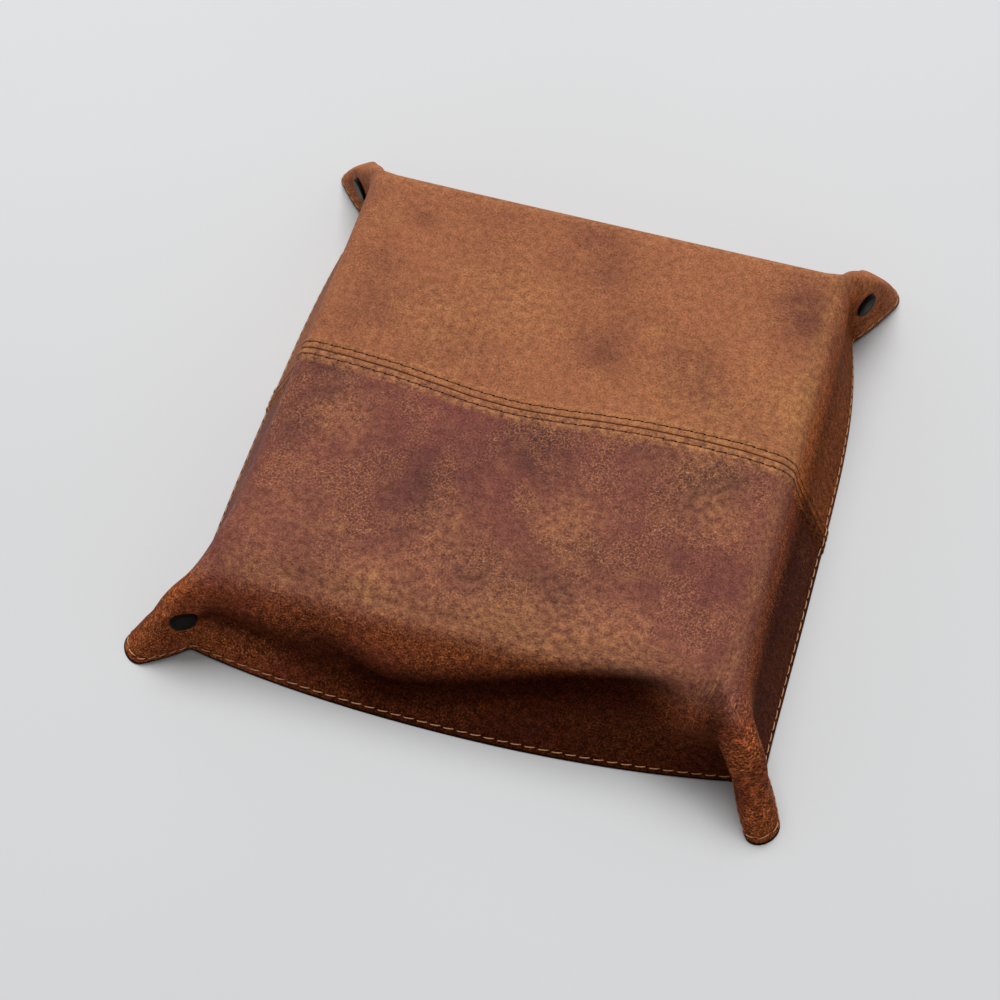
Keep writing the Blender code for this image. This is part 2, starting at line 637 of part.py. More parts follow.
def make_rim_threads(hinges):
    """Topstitching round the rim: a run for each side of the tray, and one for each leaf that opens."""
    line = 1 + STITCH_LINE
    tip = line - RIDGE_STITCH / WALL
    cut = 1 + CREASE_CUT
    leaf_run = [tip, *(s for s in X_LINES[::-1] if cut < s < tip)]
    for name, corner in CORNERS.items():
        sx, sy = corner["sign"]
        hinge, pivot = hinges[name]
        ends = [*leaf_run, cut + THREAD_GAP / WALL]
        route = [(sx * s, sy * line) if corner["opens"] == "y" else (sx * line, sy * s) for s in ends]
        thread(f"{name}_leaf_stitch", route, "tan_thread", hinge, pivot)
    for side, level, sign in (("front", 1, -1), ("right", 0, 1), ("back", 1, 1), ("left", 0, -1)):
        along = 1 - level
        reach = {}
        for corner in CORNERS.values():
            if corner["sign"][level] == sign:
                opens = corner["opens"] == "xy"[level]
                reach[corner["sign"][along]] = cut - THREAD_GAP / WALL if opens else tip
        lines = X_LINES if along == 0 else Y_LINES
        steps = [-reach[-1], *(s for s in lines if -reach[-1] < s < reach[1]), reach[1]]
        route = [(s, sign * line) if along == 0 else (sign * line, s) for s in steps]
        thread(f"rim_stitch_{side}", route, "tan_thread")


def make_hinges():
    """An empty on each leaf's turning axis."""
    hinges = {}
    for name, corner in CORNERS.items():
        point, _ = hinge_axis(corner)
        empty = bpy.data.objects.new(f"{name}_hinge", None)
        bpy.context.scene.collection.objects.link(empty)
        empty.location = point
        empty.empty_display_size = CAP_RADIUS
        hinges[name] = (empty, tuple(point))
    return hinges


def main():
    for old in list(bpy.data.objects):
        bpy.data.objects.remove(old)
    hinges = make_hinges()
    make_layers(hinges)
    make_snaps(hinges)
    make_seam_threads()
    make_rim_threads(hinges)


if __name__ == "__main__":
    main()
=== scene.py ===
"""Looks of a square leather tray with snap corners, standing upside down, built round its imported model.

The tray is one flat sheet with rounded corners, folded. Natural coordinates (X, Y) run from -2 to 2 over it:
the base lies within 1, a wall runs from 1 to the rim at 2, and where both pass 1 is a corner's ear, whose
ridge is the diagonal. Flat coordinates (u, v) are metres on the flat sheet, and serve as the UV map, so the
grain and the marks follow the leather round each fold. Leather, lining and stitches all lie on the same
folded surface, at their own depths. Lengths are in metres.
"""

import functools
import json
import math

import bpy
import numpy as np
from bpy.props import FloatProperty, FloatVectorProperty, PointerProperty
from mathutils import Matrix, Vector

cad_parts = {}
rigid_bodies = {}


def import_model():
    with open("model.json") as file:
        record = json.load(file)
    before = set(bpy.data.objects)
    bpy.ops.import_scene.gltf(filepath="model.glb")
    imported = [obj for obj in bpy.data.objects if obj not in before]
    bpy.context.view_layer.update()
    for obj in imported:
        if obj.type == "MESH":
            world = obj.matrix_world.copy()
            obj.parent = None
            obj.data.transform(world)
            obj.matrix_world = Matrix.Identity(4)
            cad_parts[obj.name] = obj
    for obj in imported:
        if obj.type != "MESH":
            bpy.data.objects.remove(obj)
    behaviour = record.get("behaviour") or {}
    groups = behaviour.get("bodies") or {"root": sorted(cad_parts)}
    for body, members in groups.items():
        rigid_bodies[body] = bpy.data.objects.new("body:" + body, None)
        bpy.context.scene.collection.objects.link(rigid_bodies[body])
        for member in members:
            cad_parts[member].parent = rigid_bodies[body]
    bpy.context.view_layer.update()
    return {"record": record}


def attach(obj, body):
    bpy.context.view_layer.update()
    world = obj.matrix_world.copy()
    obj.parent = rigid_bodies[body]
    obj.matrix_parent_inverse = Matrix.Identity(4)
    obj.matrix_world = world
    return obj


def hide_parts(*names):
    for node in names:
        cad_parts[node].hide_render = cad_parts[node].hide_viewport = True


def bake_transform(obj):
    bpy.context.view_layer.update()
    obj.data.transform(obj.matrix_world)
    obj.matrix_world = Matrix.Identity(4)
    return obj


bl_info = {
    "name": "Snap-corner leather tray",
    "version": (1, 0, 0),
    "blender": (4, 5, 0),
    "location": "3D View > Sidebar > Leather tray",
    "description": "Leather, lining, stitches and press studs of a square tray with four snap corners",
    "category": "Object",
}

for left_over in list(bpy.data.objects):
    bpy.data.objects.remove(left_over)
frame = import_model()

# The sheet and its fold
BASE_SIDE = 0.203
HEIGHT = 0.049
SHEET_CORNER = 0.020
CREASE_SHIFT = 0.011
WALLS = {
    "front": {"flare": 0.0234, "bow": 0.25, "fullness": 2.2, "skew": -0.12},
    "right": {"flare": 0.0187, "bow": 0.20, "fullness": 3.6, "skew": -0.10},
    "back": {"flare": 0.0188, "bow": 0.40, "fullness": 3.0, "skew": 0.0},
    "left": {"flare": 0.0188, "bow": 0.40, "fullness": 3.0, "skew": 0.0},
}
CORNERS = {
    "front_left": {
        "sign": (-1, -1), "notch": (0.0124, 0.0108), "tip": (0.0332, 0.0243), "arch": 0.09, "opens": "y"
    },
    "front_right": {
        "sign": (1, -1), "notch": (0.0130, 0.0082), "tip": (0.0250, 0.0334), "arch": 0.02, "opens": "x"
    },
    "back_right": {
        "sign": (1, 1), "notch": (0.0030, 0.0048), "tip": (0.0205, 0.0370), "arch": 0.18, "opens": "x"
    },
    "back_left": {
        "sign": (-1, 1), "notch": (0.0066, 0.0128), "tip": (0.0268, 0.0344), "arch": 0.12, "opens": "x"
    },
}
NOTCH_LIFT = 0.0012
NOTCH_SHARPNESS = 10
EAR_HALF = 0.0066
CREASE_HALF = 0.0042
RIM_SPREAD = 0.0027
RIM_SPREAD_FROM = 0.55
RIM_SPREAD_OVER = 0.5
BRIM = 0.0032
BRIM_FROM = 0.7
BRIM_OVER = 0.35
EDGE_BEND = 0.0075
FRONT_BEND = 0.013
FRONT_BEND_STARTS = 0.040
FRONT_BEND_OVER = 0.030
EAR_BEND = 0.002
EAR_BEND_BEFORE = 0.008
EAR_BEND_OVER = 0.014
EAR_OPENS = 0.008
CREASE_OPENS = 0.007
LAYER_OPENS = 0.005

# Leather, lining and thread
OUTER_THICKNESS = 0.0015
LINING_THICKNESS = 0.0008
CLEARANCE = 0.0003
LINING_LIFT = 0.0002
RIM_STITCH = 0.003
SEAM_Y = 0.003
SEAM_WANDER = -0.006
WANDER_MIDDLE = -0.15
WANDER_WIDTH = 0.45
SEAM_STITCH = 0.0031
STRIP_HALF = 0.0054
STRIP_RISE = 0.0006

# Press studs
CAP_RADIUS = 0.0056
CAP_HEIGHT = 0.0016
BARREL_RADIUS = 0.0017
SOCKET_RADIUS = 0.0043
SOCKET_HEIGHT = 0.0026
SOCKET_FLOOR = 0.0005
STUD_FLANGE_RADIUS = 0.0042
STUD_FLANGE = 0.0008
STUD_RADIUS = 0.0022
STUD_HEIGHT = 0.0020
STUD_PLAY = 0.0005
POST_RADIUS = 0.0048
POST_HEIGHT = 0.0010
SNAP_FROM_CREASE = 0.008
SNAP_DOWN = 0.0323
SNAP_SEAT = 0.0090
SEAT_EASE = 0.006
CAP_SIDE = 0.0009
CAP_DOME = 0.0003
CAP_CORNER = 0.0004
CAP_FACE_INSET = 0.0012
SOCKET_WAIST = 0.0012
SOCKET_BRIM = 0.0006
SOCKET_BRIM_SLOPE = 0.0003
STUD_WAIST = 0.0003
STUD_NOSE = 0.0005
POST_CORNER = 0.0004

# How finely the press stud's seat is found
SEAT_STEP = 0.05

# Worked out from the sizes above
HALF = BASE_SIDE / 2
FLARE = sum(wall["flare"] for wall in WALLS.values()) / len(WALLS)
WALL = math.hypot(HEIGHT, FLARE)
CORNER_SHARE = 1 - SHEET_CORNER / WALL
CORNER_RUN = WALL * (CORNER_SHARE + (1 - CORNER_SHARE) * math.pi / 4)
EAR_RUN = CORNER_RUN - CREASE_SHIFT
LINING_DEPTH = OUTER_THICKNESS + CLEARANCE
LEAF_DEPTH = LINING_DEPTH + LINING_THICKNESS
SNAP_DROP = SNAP_DOWN / WALL
SNAP_HALF = LEAF_DEPTH + (SOCKET_HEIGHT + STUD_FLANGE + 3 * CLEARANCE) / 2

# The fineness of the modelled surface, and where it is finest
BASE_STEP = 0.0016
WALL_STEP = 0.0008
RIM_STEP = 0.0004
RIM_BAND = 0.005
SEAM_STEP = 0.00035
SEAM_BAND = 0.007
EDGE_ROUND = 0.0005
EDGE_STEPS = 4
LINING_COARSER = 2
STITCH_RINGS = 7
STITCH_SIDES = 6
SLOPE_STEP = 0.0004
SEAM_THINNER = 0.62
PATH_SAMPLES = 1200
TURN_STEPS = 64
SNAP_ROUND = 0.00035

# Details of the leather's surface
SEAM_GROOVE = 0.00045
SEAM_GROOVE_DEPTH = 0.00045
STRIP_EASE = 0.0014
ROW_WIDTH = 0.0007
ROW_DEPTH = 0.00022
EDGE_PAINT = 0.0010

# Half the length and width of the painted shadow in a needle hole
HOLE_LONG, HOLE_WIDE = 0.00075, 0.00042

# The part of a wall that bends when its corner opens
FLAP_START = 0.48
FLAP_LEAN = (0.745, 0.47, -0.47)
FLAP_STILL = -0.003

# How the soft leather departs from a plain fold: hollows and full places along the walls, how deeply and widely
# the base's edges are rolled, the share by which the front one is less so to the right, and fuller ears
FRONT_HOLLOW = 0.0034
RIGHT_HOLLOW = 0.0008
LEFT_HOLLOW = 0.0008
EDGE_FULLNESS = 0.0010
FRONT_FULLNESS = 0.0022
BACK_FULLNESS = 0.0022
RIGHT_ROLL = 0.0024, 0.014
FRONT_ROLL = 0.0014, 0.009
FRONT_ROLL_TIGHTER = 0.6
EAR_FULLNESS = {"front_left": -0.0004, "front_right": 0.0030, "back_right": 0.0004, "back_left": 0.0004}
EAR_RIDGE_WIDTH = 0.009
SWELL = 0.00025

# Where those forms lie, as a share of the wall's depth, how widely, and where the walls' and the ears' forms end
HOLLOW_AT = 0.38
FRONT_HOLLOW_WIDTH = 0.13
SIDE_HOLLOW_WIDTH = 0.20
EDGE_FULL_AT, EDGE_FULL_WIDTH = 0.12, 0.12
FRONT_FULL_AT, FRONT_FULL_WIDTH = 0.36, 0.22
BACK_FULL_AT, BACK_FULL_WIDTH = 0.28, 0.2
WALL_FORMS_END, EAR_FORMS_END = 0.97, 1.02

# Soft swellings: place on the flat sheet, radius and height. The first two are the shoulder beside the front
# right ear, the third is on that ear's ridge, and the others fill the base's front left corner
SWELLINGS = (
    (0.093, -0.113, 0.014, 0.0052),
    (0.105, -0.117, 0.014, 0.0048),
    (0.117, -0.117, 0.010, 0.0026),
    (-0.106, -0.096, 0.014, 0.0036),
    (-0.112, -0.113, 0.013, 0.0048),
)

# The leather is too stiff to crease sharply beside an ear: where, how widely, how many rounds of smoothing, and
# how far down the wall, from 1 at the base's edge to 2 at the rim
CREASE_PLACE = (0.102, 0.112)
CREASE_SPREAD = 0.013
CREASE_ROUNDS = 160
CREASE_END = 1.9

# Soft marks on the base: place, radius and strength, dark above 0 and pale below
MARKS = (
    (0.016, 0.034, 0.012, 0.60),
    (0.054, 0.033, 0.014, 0.40),
    (0.062, 0.022, 0.012, 0.30),
    (-0.074, 0.080, 0.006, 0.45),
    (-0.044, 0.080, 0.017, 0.30),
    (-0.086, 0.050, 0.009, 0.40),
    (-0.076, 0.027, 0.009, 0.30),
    (0.086, 0.085, 0.012, 0.50),
    (0.093, 0.071, 0.012, 0.60),
    (0.001, 0.085, 0.022, 0.30),
    (-0.025, 0.048, 0.022, -0.35),
    (-0.053, 0.028, 0.018, -0.30),
    (0.063, 0.010, 0.030, -0.35),
    (0.098, 0.031, 0.014, -0.60),
    (-0.086, -0.009, 0.016, 0.70),
    (-0.091, -0.036, 0.009, 0.40),
    (-0.047, -0.046, 0.026, 0.28),
    (-0.029, -0.056, 0.022, 0.30),
    (0.038, -0.061, 0.013, 0.55),
    (-0.003, -0.078, 0.014, 0.50),
    (0.016, -0.080, 0.014, 0.50),
    (0.032, -0.082, 0.012, 0.50),
    (0.002, -0.016, 0.014, 0.45),
    (0.073, -0.015, 0.013, 0.50),
    (0.050, -0.008, 0.012, 0.30),
    (-0.074, -0.026, 0.014, -0.40),
    (0.024, -0.047, 0.016, -0.50),
    (0.078, -0.028, 0.012, -0.55),
    (-0.019, -0.064, 0.014, -0.40),
    (-0.039, -0.093, 0.016, -0.50),
    (0.011, -0.098, 0.025, -0.50),
    (0.049, -0.091, 0.020, -0.50),
    (-0.081, -0.074, 0.020, -0.30),
)

# The seam's stitches end this far from the rim
SEAM_CLEAR = 0.0042
SEAM_END = 2 - SEAM_CLEAR / WALL

# How strongly the leather is rubbed pale, from 0 to 1
RIGHT_EDGE_RUBBED, LEFT_EDGE_RUBBED, FRONT_EDGE_RUBBED = 0.45, 0.02, 0.42
RIGHT_RIDGES_RUBBED, LEFT_RIDGES_RUBBED = 0.15, 0.35
STRIP_RUBBED, STRIP_FRONT_RUBBED = 0.35, 0.45

# How strongly shade is painted into the colour of each wall, from 0 to 1
FRONT_PAINTED_SHADE, RIGHT_FRONT_PAINTED_SHADE, RIGHT_REAR_PAINTED_SHADE, PLAIN_PAINTED_SHADE = 0.97, 0.74, 0.52, 0.30

# Where the walls' painted shade tint, stronger grain and weaker shine begin below the base, and how much of them
# the plain walls and back ears leave out
WALL_FROM, WALL_OVER = 0.002, 0.014
PLAIN_WALLS_CALMER, BACK_EARS_CALMER = 0.75, 0.5
FOLDS_RADIUS = 0.016

# The camera that the photograph was taken by, the large lamp and the floor
CAMERA_AZIMUTH = 0.2638
CAMERA_ELEVATION = 0.9903
CAMERA_ROLL = -0.0181
CAMERA_DISTANCE = 0.93715
CAMERA_SHIFT = (-0.04057, -0.02325)
FLOOR_HALF = 6.0
FLOOR_LEVEL = -0.0001
LAMP_PLACE = (-0.5, 1.3, 3.1)
LAMP_SIZE = (2.4, 1.8)
SENSOR_WIDTH = 36

# The record's mount lies this far behind the base's middle, which gives the footprint's middle
MOUNT_BACK = 0.05
MOUNT = frame["record"]["mounts"][0]["pos_m"]
CENTRE = np.array([-MOUNT[0], MOUNT_BACK - MOUNT[1], 0.0])


def smooth(x):
    """0 to 1 with level ends."""
    x = np.clip(x, 0, 1)
    return x * x * (3 - 2 * x)


def bell(distance, width):
    """Bell curve: 1 at no distance, 0.37 at the width."""
    return np.exp(-((distance / width) ** 2))


def round_bell(aside, along, radius):
    """Bell curve over a surface, round its place: 1 there, 0.37 at the radius."""
    return np.exp(-(aside**2 + along**2) / radius**2)


def row_length(u, v):
    """Distance along a line of flat points, from its first to each."""
    return np.concatenate([[0], np.cumsum(np.hypot(np.diff(u), np.diff(v)))])


def flat(X, Y):
    """Natural to flat coordinates. The sheet's corner is round, and each wall widens towards the rim."""
    X, Y = np.broadcast_arrays(np.asarray(X, float), np.asarray(Y, float))
    wide, high = np.abs(X), np.abs(Y)
    sx, sy = np.maximum(wide - 1, 0), np.maximum(high - 1, 0)
    drop, less = np.maximum(sx, sy), np.minimum(sx, sy)
    turn = less / np.maximum(drop, 1e-12)
    run = drop * (CREASE_SHIFT + turn * EAR_RUN)
    straight = CORNER_SHARE * WALL * drop
    radius = (1 - CORNER_SHARE) * WALL * drop
    angle = np.maximum(run - straight, 0) / np.maximum(radius, 1e-12)
    along = np.where(run <= straight, run, straight + radius * np.sin(angle))
    out = np.where(run <= straight, WALL * drop, straight + radius * np.cos(angle))
    ear = less > 0
    y_side = sy >= sx
    wide_in, high_in = np.minimum(wide, 1), np.minimum(high, 1)
    u_wall = np.where(y_side, wide_in * (HALF + CREASE_SHIFT * sy), HALF * wide_in + WALL * sx)
    v_wall = np.where(y_side, HALF * high_in + WALL * sy, high_in * (HALF + CREASE_SHIFT * sx))
    u = np.copysign(np.where(ear, HALF + np.where(y_side, along, out), u_wall), X)
    v = np.copysign(np.where(ear, HALF + np.where(y_side, out, along), v_wall), Y)
    inside = np.clip(1 - X**2, 0, 1) * np.clip(1 - Y**2, 0, 1) ** 2
    return u, v + SEAM_WANDER * inside * bell(X - WANDER_MIDDLE, WANDER_WIDTH)


def bowed(side, s):
    """Share of a wall's flare reached s of the way down: below s where the wall bows outwards."""
    bow = WALLS[side]["bow"]
    return (1 - bow) * s + bow * s * s


def grown(distance):
    """How far a layer's own depth counts: 0 at the base's corner, where the ear closes, 1 away from it."""
    return 1 - np.exp(-np.maximum(distance, 0) / LAYER_OPENS)


def inset(s, depth):
    """How far inwards a layer this deep lies on a wall, s of the way down."""
    return depth * (WALL - FLARE * (1 - s)) / HEIGHT


def across(corner):
    """Level direction square to the ear, from its x side to its y side."""
    (sx, sy), (tx, ty) = corner["sign"], corner["tip"]
    return np.array([-sx * ty, sy * tx, 0]) / math.hypot(tx, ty)


def crease_half(s, depth):
    """Half of the ear's width at the notch."""
    x = np.maximum(s, 0) * WALL
    spread = RIM_SPREAD * smooth((s - RIM_SPREAD_FROM) / RIM_SPREAD_OVER)
    return CREASE_HALF * (1 - np.exp(-x / CREASE_OPENS)) + spread - depth * grown(x)


def foot(corner, s, depth):
    """Middle of the notch where the two walls meet the ear, s of the way down."""
    (sx, sy), (nx, ny) = corner["sign"], corner["notch"]
    x_bow = bowed("right" if sx > 0 else "left", s)
    y_bow = bowed("front" if sy < 0 else "back", s)
    inward = inset(s, depth) - math.sqrt(0.5) * depth * grown(s * WALL)
    z = (HEIGHT - depth) * (1 - s) + NOTCH_LIFT * np.clip(s, 0, 2) ** 3
    return np.stack([sx * (HALF + x_bow * nx - inward), sy * (HALF + y_bow * ny - inward), z], -1)


def wall_point(side, t, s, depth):
    """Point of a wall: between its two creases, and bulging to its full flare in the middle."""
    y_side = side in ("front", "back")
    sign = -1 if side in ("front", "left") else 1
    level, upright = (1, 0) if y_side else (0, 1)
    ends = sorted((c for c in CORNERS.values() if c["sign"][level] == sign), key=lambda c: c["sign"][upright])
    half = (crease_half(s, depth) * (1 if y_side else -1))[:, None]
    first, last = (foot(corner, s, depth) + half * across(corner) for corner in ends)
    share = ((t + 1) / 2)[:, None]
    point = first * (1 - share) + last * share
    t = np.clip(t, -1, 1)
    wall = WALLS[side]
    bulge = 1 - np.abs(t - wall["skew"] * (1 - t * t)) ** wall["fullness"]
    full = sign * (HALF + bowed(side, s) * wall["flare"] - inset(s, depth))
    point[:, level] = point[:, level] * (1 - bulge) + full * bulge
    level_z = (HEIGHT - depth) * (1 - s)
    point[:, 2] = level_z + (point[:, 2] - level_z) * np.abs(t) ** NOTCH_SHARPNESS
    return point


def fallen(from_ridge, drop, depth):
    """How far a leaf has come down from the ridge: round an arc, then straight."""
    radius = EAR_HALF * (1 - np.exp(-drop / EAR_OPENS))
    inner = radius - depth * grown(drop)
    turn = np.minimum(from_ridge / radius, math.pi / 2)
    return inner * (1 - np.cos(turn)) + np.maximum(from_ridge - radius * math.pi / 2, 0), inner * np.sin(turn)


def ear_plane(corner):
    """Middle of the press stud between the leaves, and the direction square to it, towards the y side."""
    low, high = [], []
    for m in (SNAP_DROP - SEAT_STEP, SNAP_DROP, SNAP_DROP + SEAT_STEP):
        low.append(foot(corner, m, 0))
        high.append(ridge_point(corner, m, 0))
    drop, run = SNAP_DROP * WALL, SNAP_DROP * EAR_RUN
    rise = 1 - fallen(run - SNAP_FROM_CREASE, drop, 0)[0] / fallen(run, drop, 0)[0]
    along = (low[2] - low[0]) * (1 - rise) + (high[2] - high[0]) * rise
    square = np.cross(along, high[1] - low[1])
    square *= math.copysign(1, square @ across(corner)) / np.linalg.norm(square)
    return low[1] * (1 - rise) + high[1] * rise, square


def ear_point(corner, p, r, depth):
    """Point of an ear, p and r past the base's edges. A leaf turns over the ridge, then runs down."""
    y_side = r >= p
    most, least = np.maximum(p, r), np.minimum(p, r)
    k = CORNER_SHARE
    total, squares = p + r, p * p + r * r
    root = np.sqrt(np.maximum(k * k * total * total - (k * k + 2 * k - 1) * squares, 0))
    drop = np.where(least <= k * most, most, squares / (k * total + root))
    angle = np.arctan2(least - k * drop, most - k * drop)
    run = np.where(least <= k * most, least, k * drop + (1 - k) * drop * angle)
    m = drop / WALL
    leaf_run = EAR_RUN * m
    from_ridge = np.clip(CORNER_RUN * m - run, 0, leaf_run)
    come_down, arc = fallen(from_ridge, drop, depth)
    rise = 1 - come_down / fallen(leaf_run, drop, depth)[0]
    share = from_ridge / leaf_run
    brim = BRIM * smooth((m - BRIM_FROM) / BRIM_OVER) * (1 - share**2) * share
    half = arc * (1 - share**2) + crease_half(m, depth) * share**2 + brim
    near = np.hypot(drop - SNAP_DROP * WALL, from_ridge - (leaf_run - SNAP_FROM_CREASE))
    seat = smooth((SNAP_SEAT + SEAT_EASE - near) / SEAT_EASE)
    half = half * (1 - seat) + (SNAP_HALF - depth) * seat
    low = foot(corner, m, depth)
    point = low + (ridge_point(corner, m, depth) - low) * rise[:, None]
    middle, square = ear_plane(corner)
    seat = seat[:, None]
    point = point - seat * ((point - middle) @ square)[:, None] * square
    sideways = across(corner) * (1 - seat) + square * seat
    return point + (np.where(y_side, 1.0, -1.0) * half)[:, None] * sideways


def ridge_point(corner, m, depth):
    """Point of the ear's ridge, m of the way from the base's corner to the tip."""
    (sx, sy), (tx, ty) = corner["sign"], corner["tip"]
    reach = math.hypot(tx, ty)
    early = 1 - grown(m * WALL)
    back = depth * (math.hypot(reach, HEIGHT) - (1 - m) * reach) / HEIGHT / reach * (1 - early)
    along = m + corner["arch"] * m * (1 - m)
    rest = HALF - inset(0, depth) * early
    x, y = sx * (rest + tx * (along - back)), sy * (rest + ty * (along - back))
    return np.stack([x, y, (HEIGHT - depth) * (1 - m) + HEIGHT * (along - m)], -1)


def fold(u, v, depth):
    """Where flat coordinates go when a layer this deep is folded with sharp creases."""
    shrink = 1 - inset(0, depth) / HALF
    points = np.stack([u * shrink, v * shrink, HEIGHT - depth], -1)
    p, r = np.abs(u) - HALF, np.abs(v) - HALF
    y_wall = (r > 0) & (p * WALL <= CREASE_SHIFT * r)
    x_wall = (p > 0) & (r * WALL <= CREASE_SHIFT * p)
    sides = {
        "front": y_wall & (v < 0),
        "back": y_wall & (v >= 0),
        "left": x_wall & (u < 0),
        "right": x_wall & (u >= 0),
    }
    for side, here in sides.items():
        if here.any():
            past, other = (r, u) if side in ("front", "back") else (p, v)
            s = past[here] / WALL
            points[here] = wall_point(side, other[here] / (HALF + CREASE_SHIFT * s), s, depth[here])
    ear = (p > 0) & (r > 0) & ~y_wall & ~x_wall
    for corner in CORNERS.values():
        here = ear & (u * corner["sign"][0] > 0) & (v * corner["sign"][1] > 0)
        if here.any():
            points[here] = ear_point(corner, p[here], r[here], depth[here])
    return points


def surface(u, v, depth=0.0):
    """The folded sheet with rounded creases: a point is the mean of the sharp fold over a disc around it."""
    u, v, depth = (np.array(a, float) for a in np.broadcast_arrays(u, v, depth))
    inward = np.minimum(np.abs(u), np.abs(v)) - HALF
    front = smooth((FRONT_BEND_STARTS - v - HALF) / FRONT_BEND_OVER)
    edge = EDGE_BEND + (FRONT_BEND - EDGE_BEND) * front
    bend = edge + (EAR_BEND - edge) * smooth((inward + EAR_BEND_BEFORE) / EAR_BEND_OVER)
    points = fold(u, v, depth)
    total = 1.0
    for radius, count, weight in ((0.35, 6, 0.95), (0.68, 12, 0.75), (1.0, 18, 0.45)):
        for angle in 2 * math.pi * (np.arange(count) + 0.5 * (count % 4 == 0)) / count:
            du, dv = radius * math.cos(angle) * bend, radius * math.sin(angle) * bend
            points = points + weight * fold(u + du, v + dv, depth)
            total += weight
    return points / total


def placed(X, Y, depth=0.0):
    """Natural coordinates to world coordinates, with the footprint's middle at the origin."""
    return surface(*flat(X, Y), depth) - CENTRE


def snap_frame(corner):
    """Centre of the press stud between the leaves, and the direction of its cap."""
    drop, less = 1 + SNAP_DROP, 1 + SNAP_FROM_CREASE / EAR_RUN
    (sx, sy) = corner["sign"]
    pair = placed(np.array([sx * less, sx * drop]), np.array([sy * drop, sy * less]))
    return pair.mean(0), ear_plane(corner)[1] * (1 if corner["opens"] == "y" else -1)


def cap_profile():
    seat = SNAP_HALF + CLEARANCE
    top = seat + CAP_HEIGHT
    rim = CAP_RADIUS - CAP_CORNER
    end = SNAP_HALF - LEAF_DEPTH
    face = CAP_RADIUS - CAP_FACE_INSET
    head = [(0, top), (face, top), (rim, top - CAP_DOME), (CAP_RADIUS, top - CAP_SIDE)]
    back = [(CAP_RADIUS, seat + CAP_CORNER / 2), (rim, seat)]
    return head + back + [(BARREL_RADIUS, seat), (BARREL_RADIUS, end), (0, end)]


def socket_profile():
    top = SNAP_HALF - LEAF_DEPTH - CLEARANCE
    mouth = top - SOCKET_HEIGHT
    bore = STUD_RADIUS + STUD_PLAY
    waist = SOCKET_RADIUS - SOCKET_WAIST
    brim = top - SOCKET_BRIM
    floor = top - SOCKET_FLOOR
    outside = [(0, top), (SOCKET_RADIUS, top), (SOCKET_RADIUS, brim), (waist, brim - SOCKET_BRIM_SLOPE)]
    return outside + [(waist, mouth), (bore, mouth), (bore, floor), (0, floor)]


def stud_profile():
    seat = -(SNAP_HALF - LEAF_DEPTH - CLEARANCE)
    flange = seat + STUD_FLANGE
    top = flange + STUD_HEIGHT
    neck = STUD_RADIUS - STUD_WAIST
    post = [(0, top), (neck, top), (STUD_RADIUS, top - STUD_NOSE), (neck, flange)]
    return post + [(STUD_FLANGE_RADIUS, flange), (STUD_FLANGE_RADIUS, seat), (0, seat)]


def post_profile():
    end = -(SNAP_HALF - LEAF_DEPTH)
    seat = -(SNAP_HALF + CLEARANCE)
    back = seat - POST_HEIGHT
    return [(0, end), (BARREL_RADIUS, end), (BARREL_RADIUS, seat), (POST_RADIUS, seat),
            (POST_RADIUS, back + POST_CORNER), (POST_RADIUS - POST_CORNER, back), (0, back)]


def srgb(text):
    """Linear colour of an sRGB hex value."""
    parts = [int(text[k : k + 2], 16) / 255 for k in (1, 3, 5)]
    return [c / 12.92 if c <= 0.04045 else ((c + 0.055) / 1.055) ** 2.4 for c in parts]


def colour(name, description, text):
    return FloatVectorProperty(
        name=name, description=description, subtype="COLOR", min=0, max=1, default=srgb(text)
    )


def length(name, description, default):
    return FloatProperty(
        name=name, description=description, default=default, min=0, unit="LENGTH", precision=5
    )


def share(name, description, default, highest=1.0):
    return FloatProperty(name=name, description=description, default=default, min=0, max=highest)


class TrayLeather(bpy.types.PropertyGroup):
    """Waxed leather of the two panels, and the suede inside"""

    rear: colour("Rear panel", "Tan of the rear panel", "#A6694A")
    rear_dark: colour("Rear mottling", "Where wax has gathered on the rear panel", "#77483A")
    rear_pale: colour("Rear wear", "Where the rear panel is rubbed pale", "#B98052")
    front: colour("Front panel", "Red brown of the front panel", "#824C43")
    front_dark: colour("Front mottling", "Where wax has gathered on the front panel", "#593A35")
    front_pale: colour("Front wear", "Where the front panel is rubbed pale", "#B17852")
    # Painted shade: the near-black colour laid down the walls and in their hollows, where they face away from the
    # lamp
    painted_shade: colour("Painted shade", "Shade painted down the walls and in their hollows", "#260702")
    edge: colour("Painted edge", "Edge dye along the rim", "#140A07")
    lining: colour("Lining", "Dark suede inside the tray", "#2A201B")
    grain: length("Grain", "Width of one pebble of the grain", 0.0011)
    crackle: length("Crackle", "Width of one cell of the crackled wax", 0.0016)


class TrayThread(bpy.types.PropertyGroup):
    """Waxed sewing thread of the seam and the rim"""

    seam: colour("Seam thread", "Brown topstitching of the seam", "#6A3C20")
    rim: colour("Rim thread", "Pale tan topstitching of the rim", "#CF9C6E")
    radius: length("Radius", "Half of the thread's thickness", 0.00026)
    seam_pitch: length("Seam stitch", "From one seam stitch to the next", 0.005)
    rim_pitch: length("Rim stitch", "From one rim stitch to the next", 0.0055)
    shown: share("Shown", "Share of each stitch that lies on top of the leather", 0.84)
    slant: FloatProperty(name="Slant", description="Turn of each stitch off its row",
                         default=math.radians(7), subtype="ANGLE")


class TraySnaps(bpy.types.PropertyGroup):
    """Gunmetal press studs of the four corners"""

    metal: colour("Gunmetal", "Darkened nickel plating", "#14100D")
    roughness: share("Roughness", "How dull the plating is", 0.48)


class TrayStage(bpy.types.PropertyGroup):
    """Floor, lights and camera"""

    floor: colour("Floor", "Pale cool grey floor", "#D9DADB")
    key: FloatProperty(name="Key light", description="Power of the large light behind the tray", default=100.0)
    fill: FloatProperty(name="Fill light", description="Strength of the light all round", default=0.30)
    lens: FloatProperty(name="Lens", description="Focal length on a 36 mm wide sensor", default=81.28)


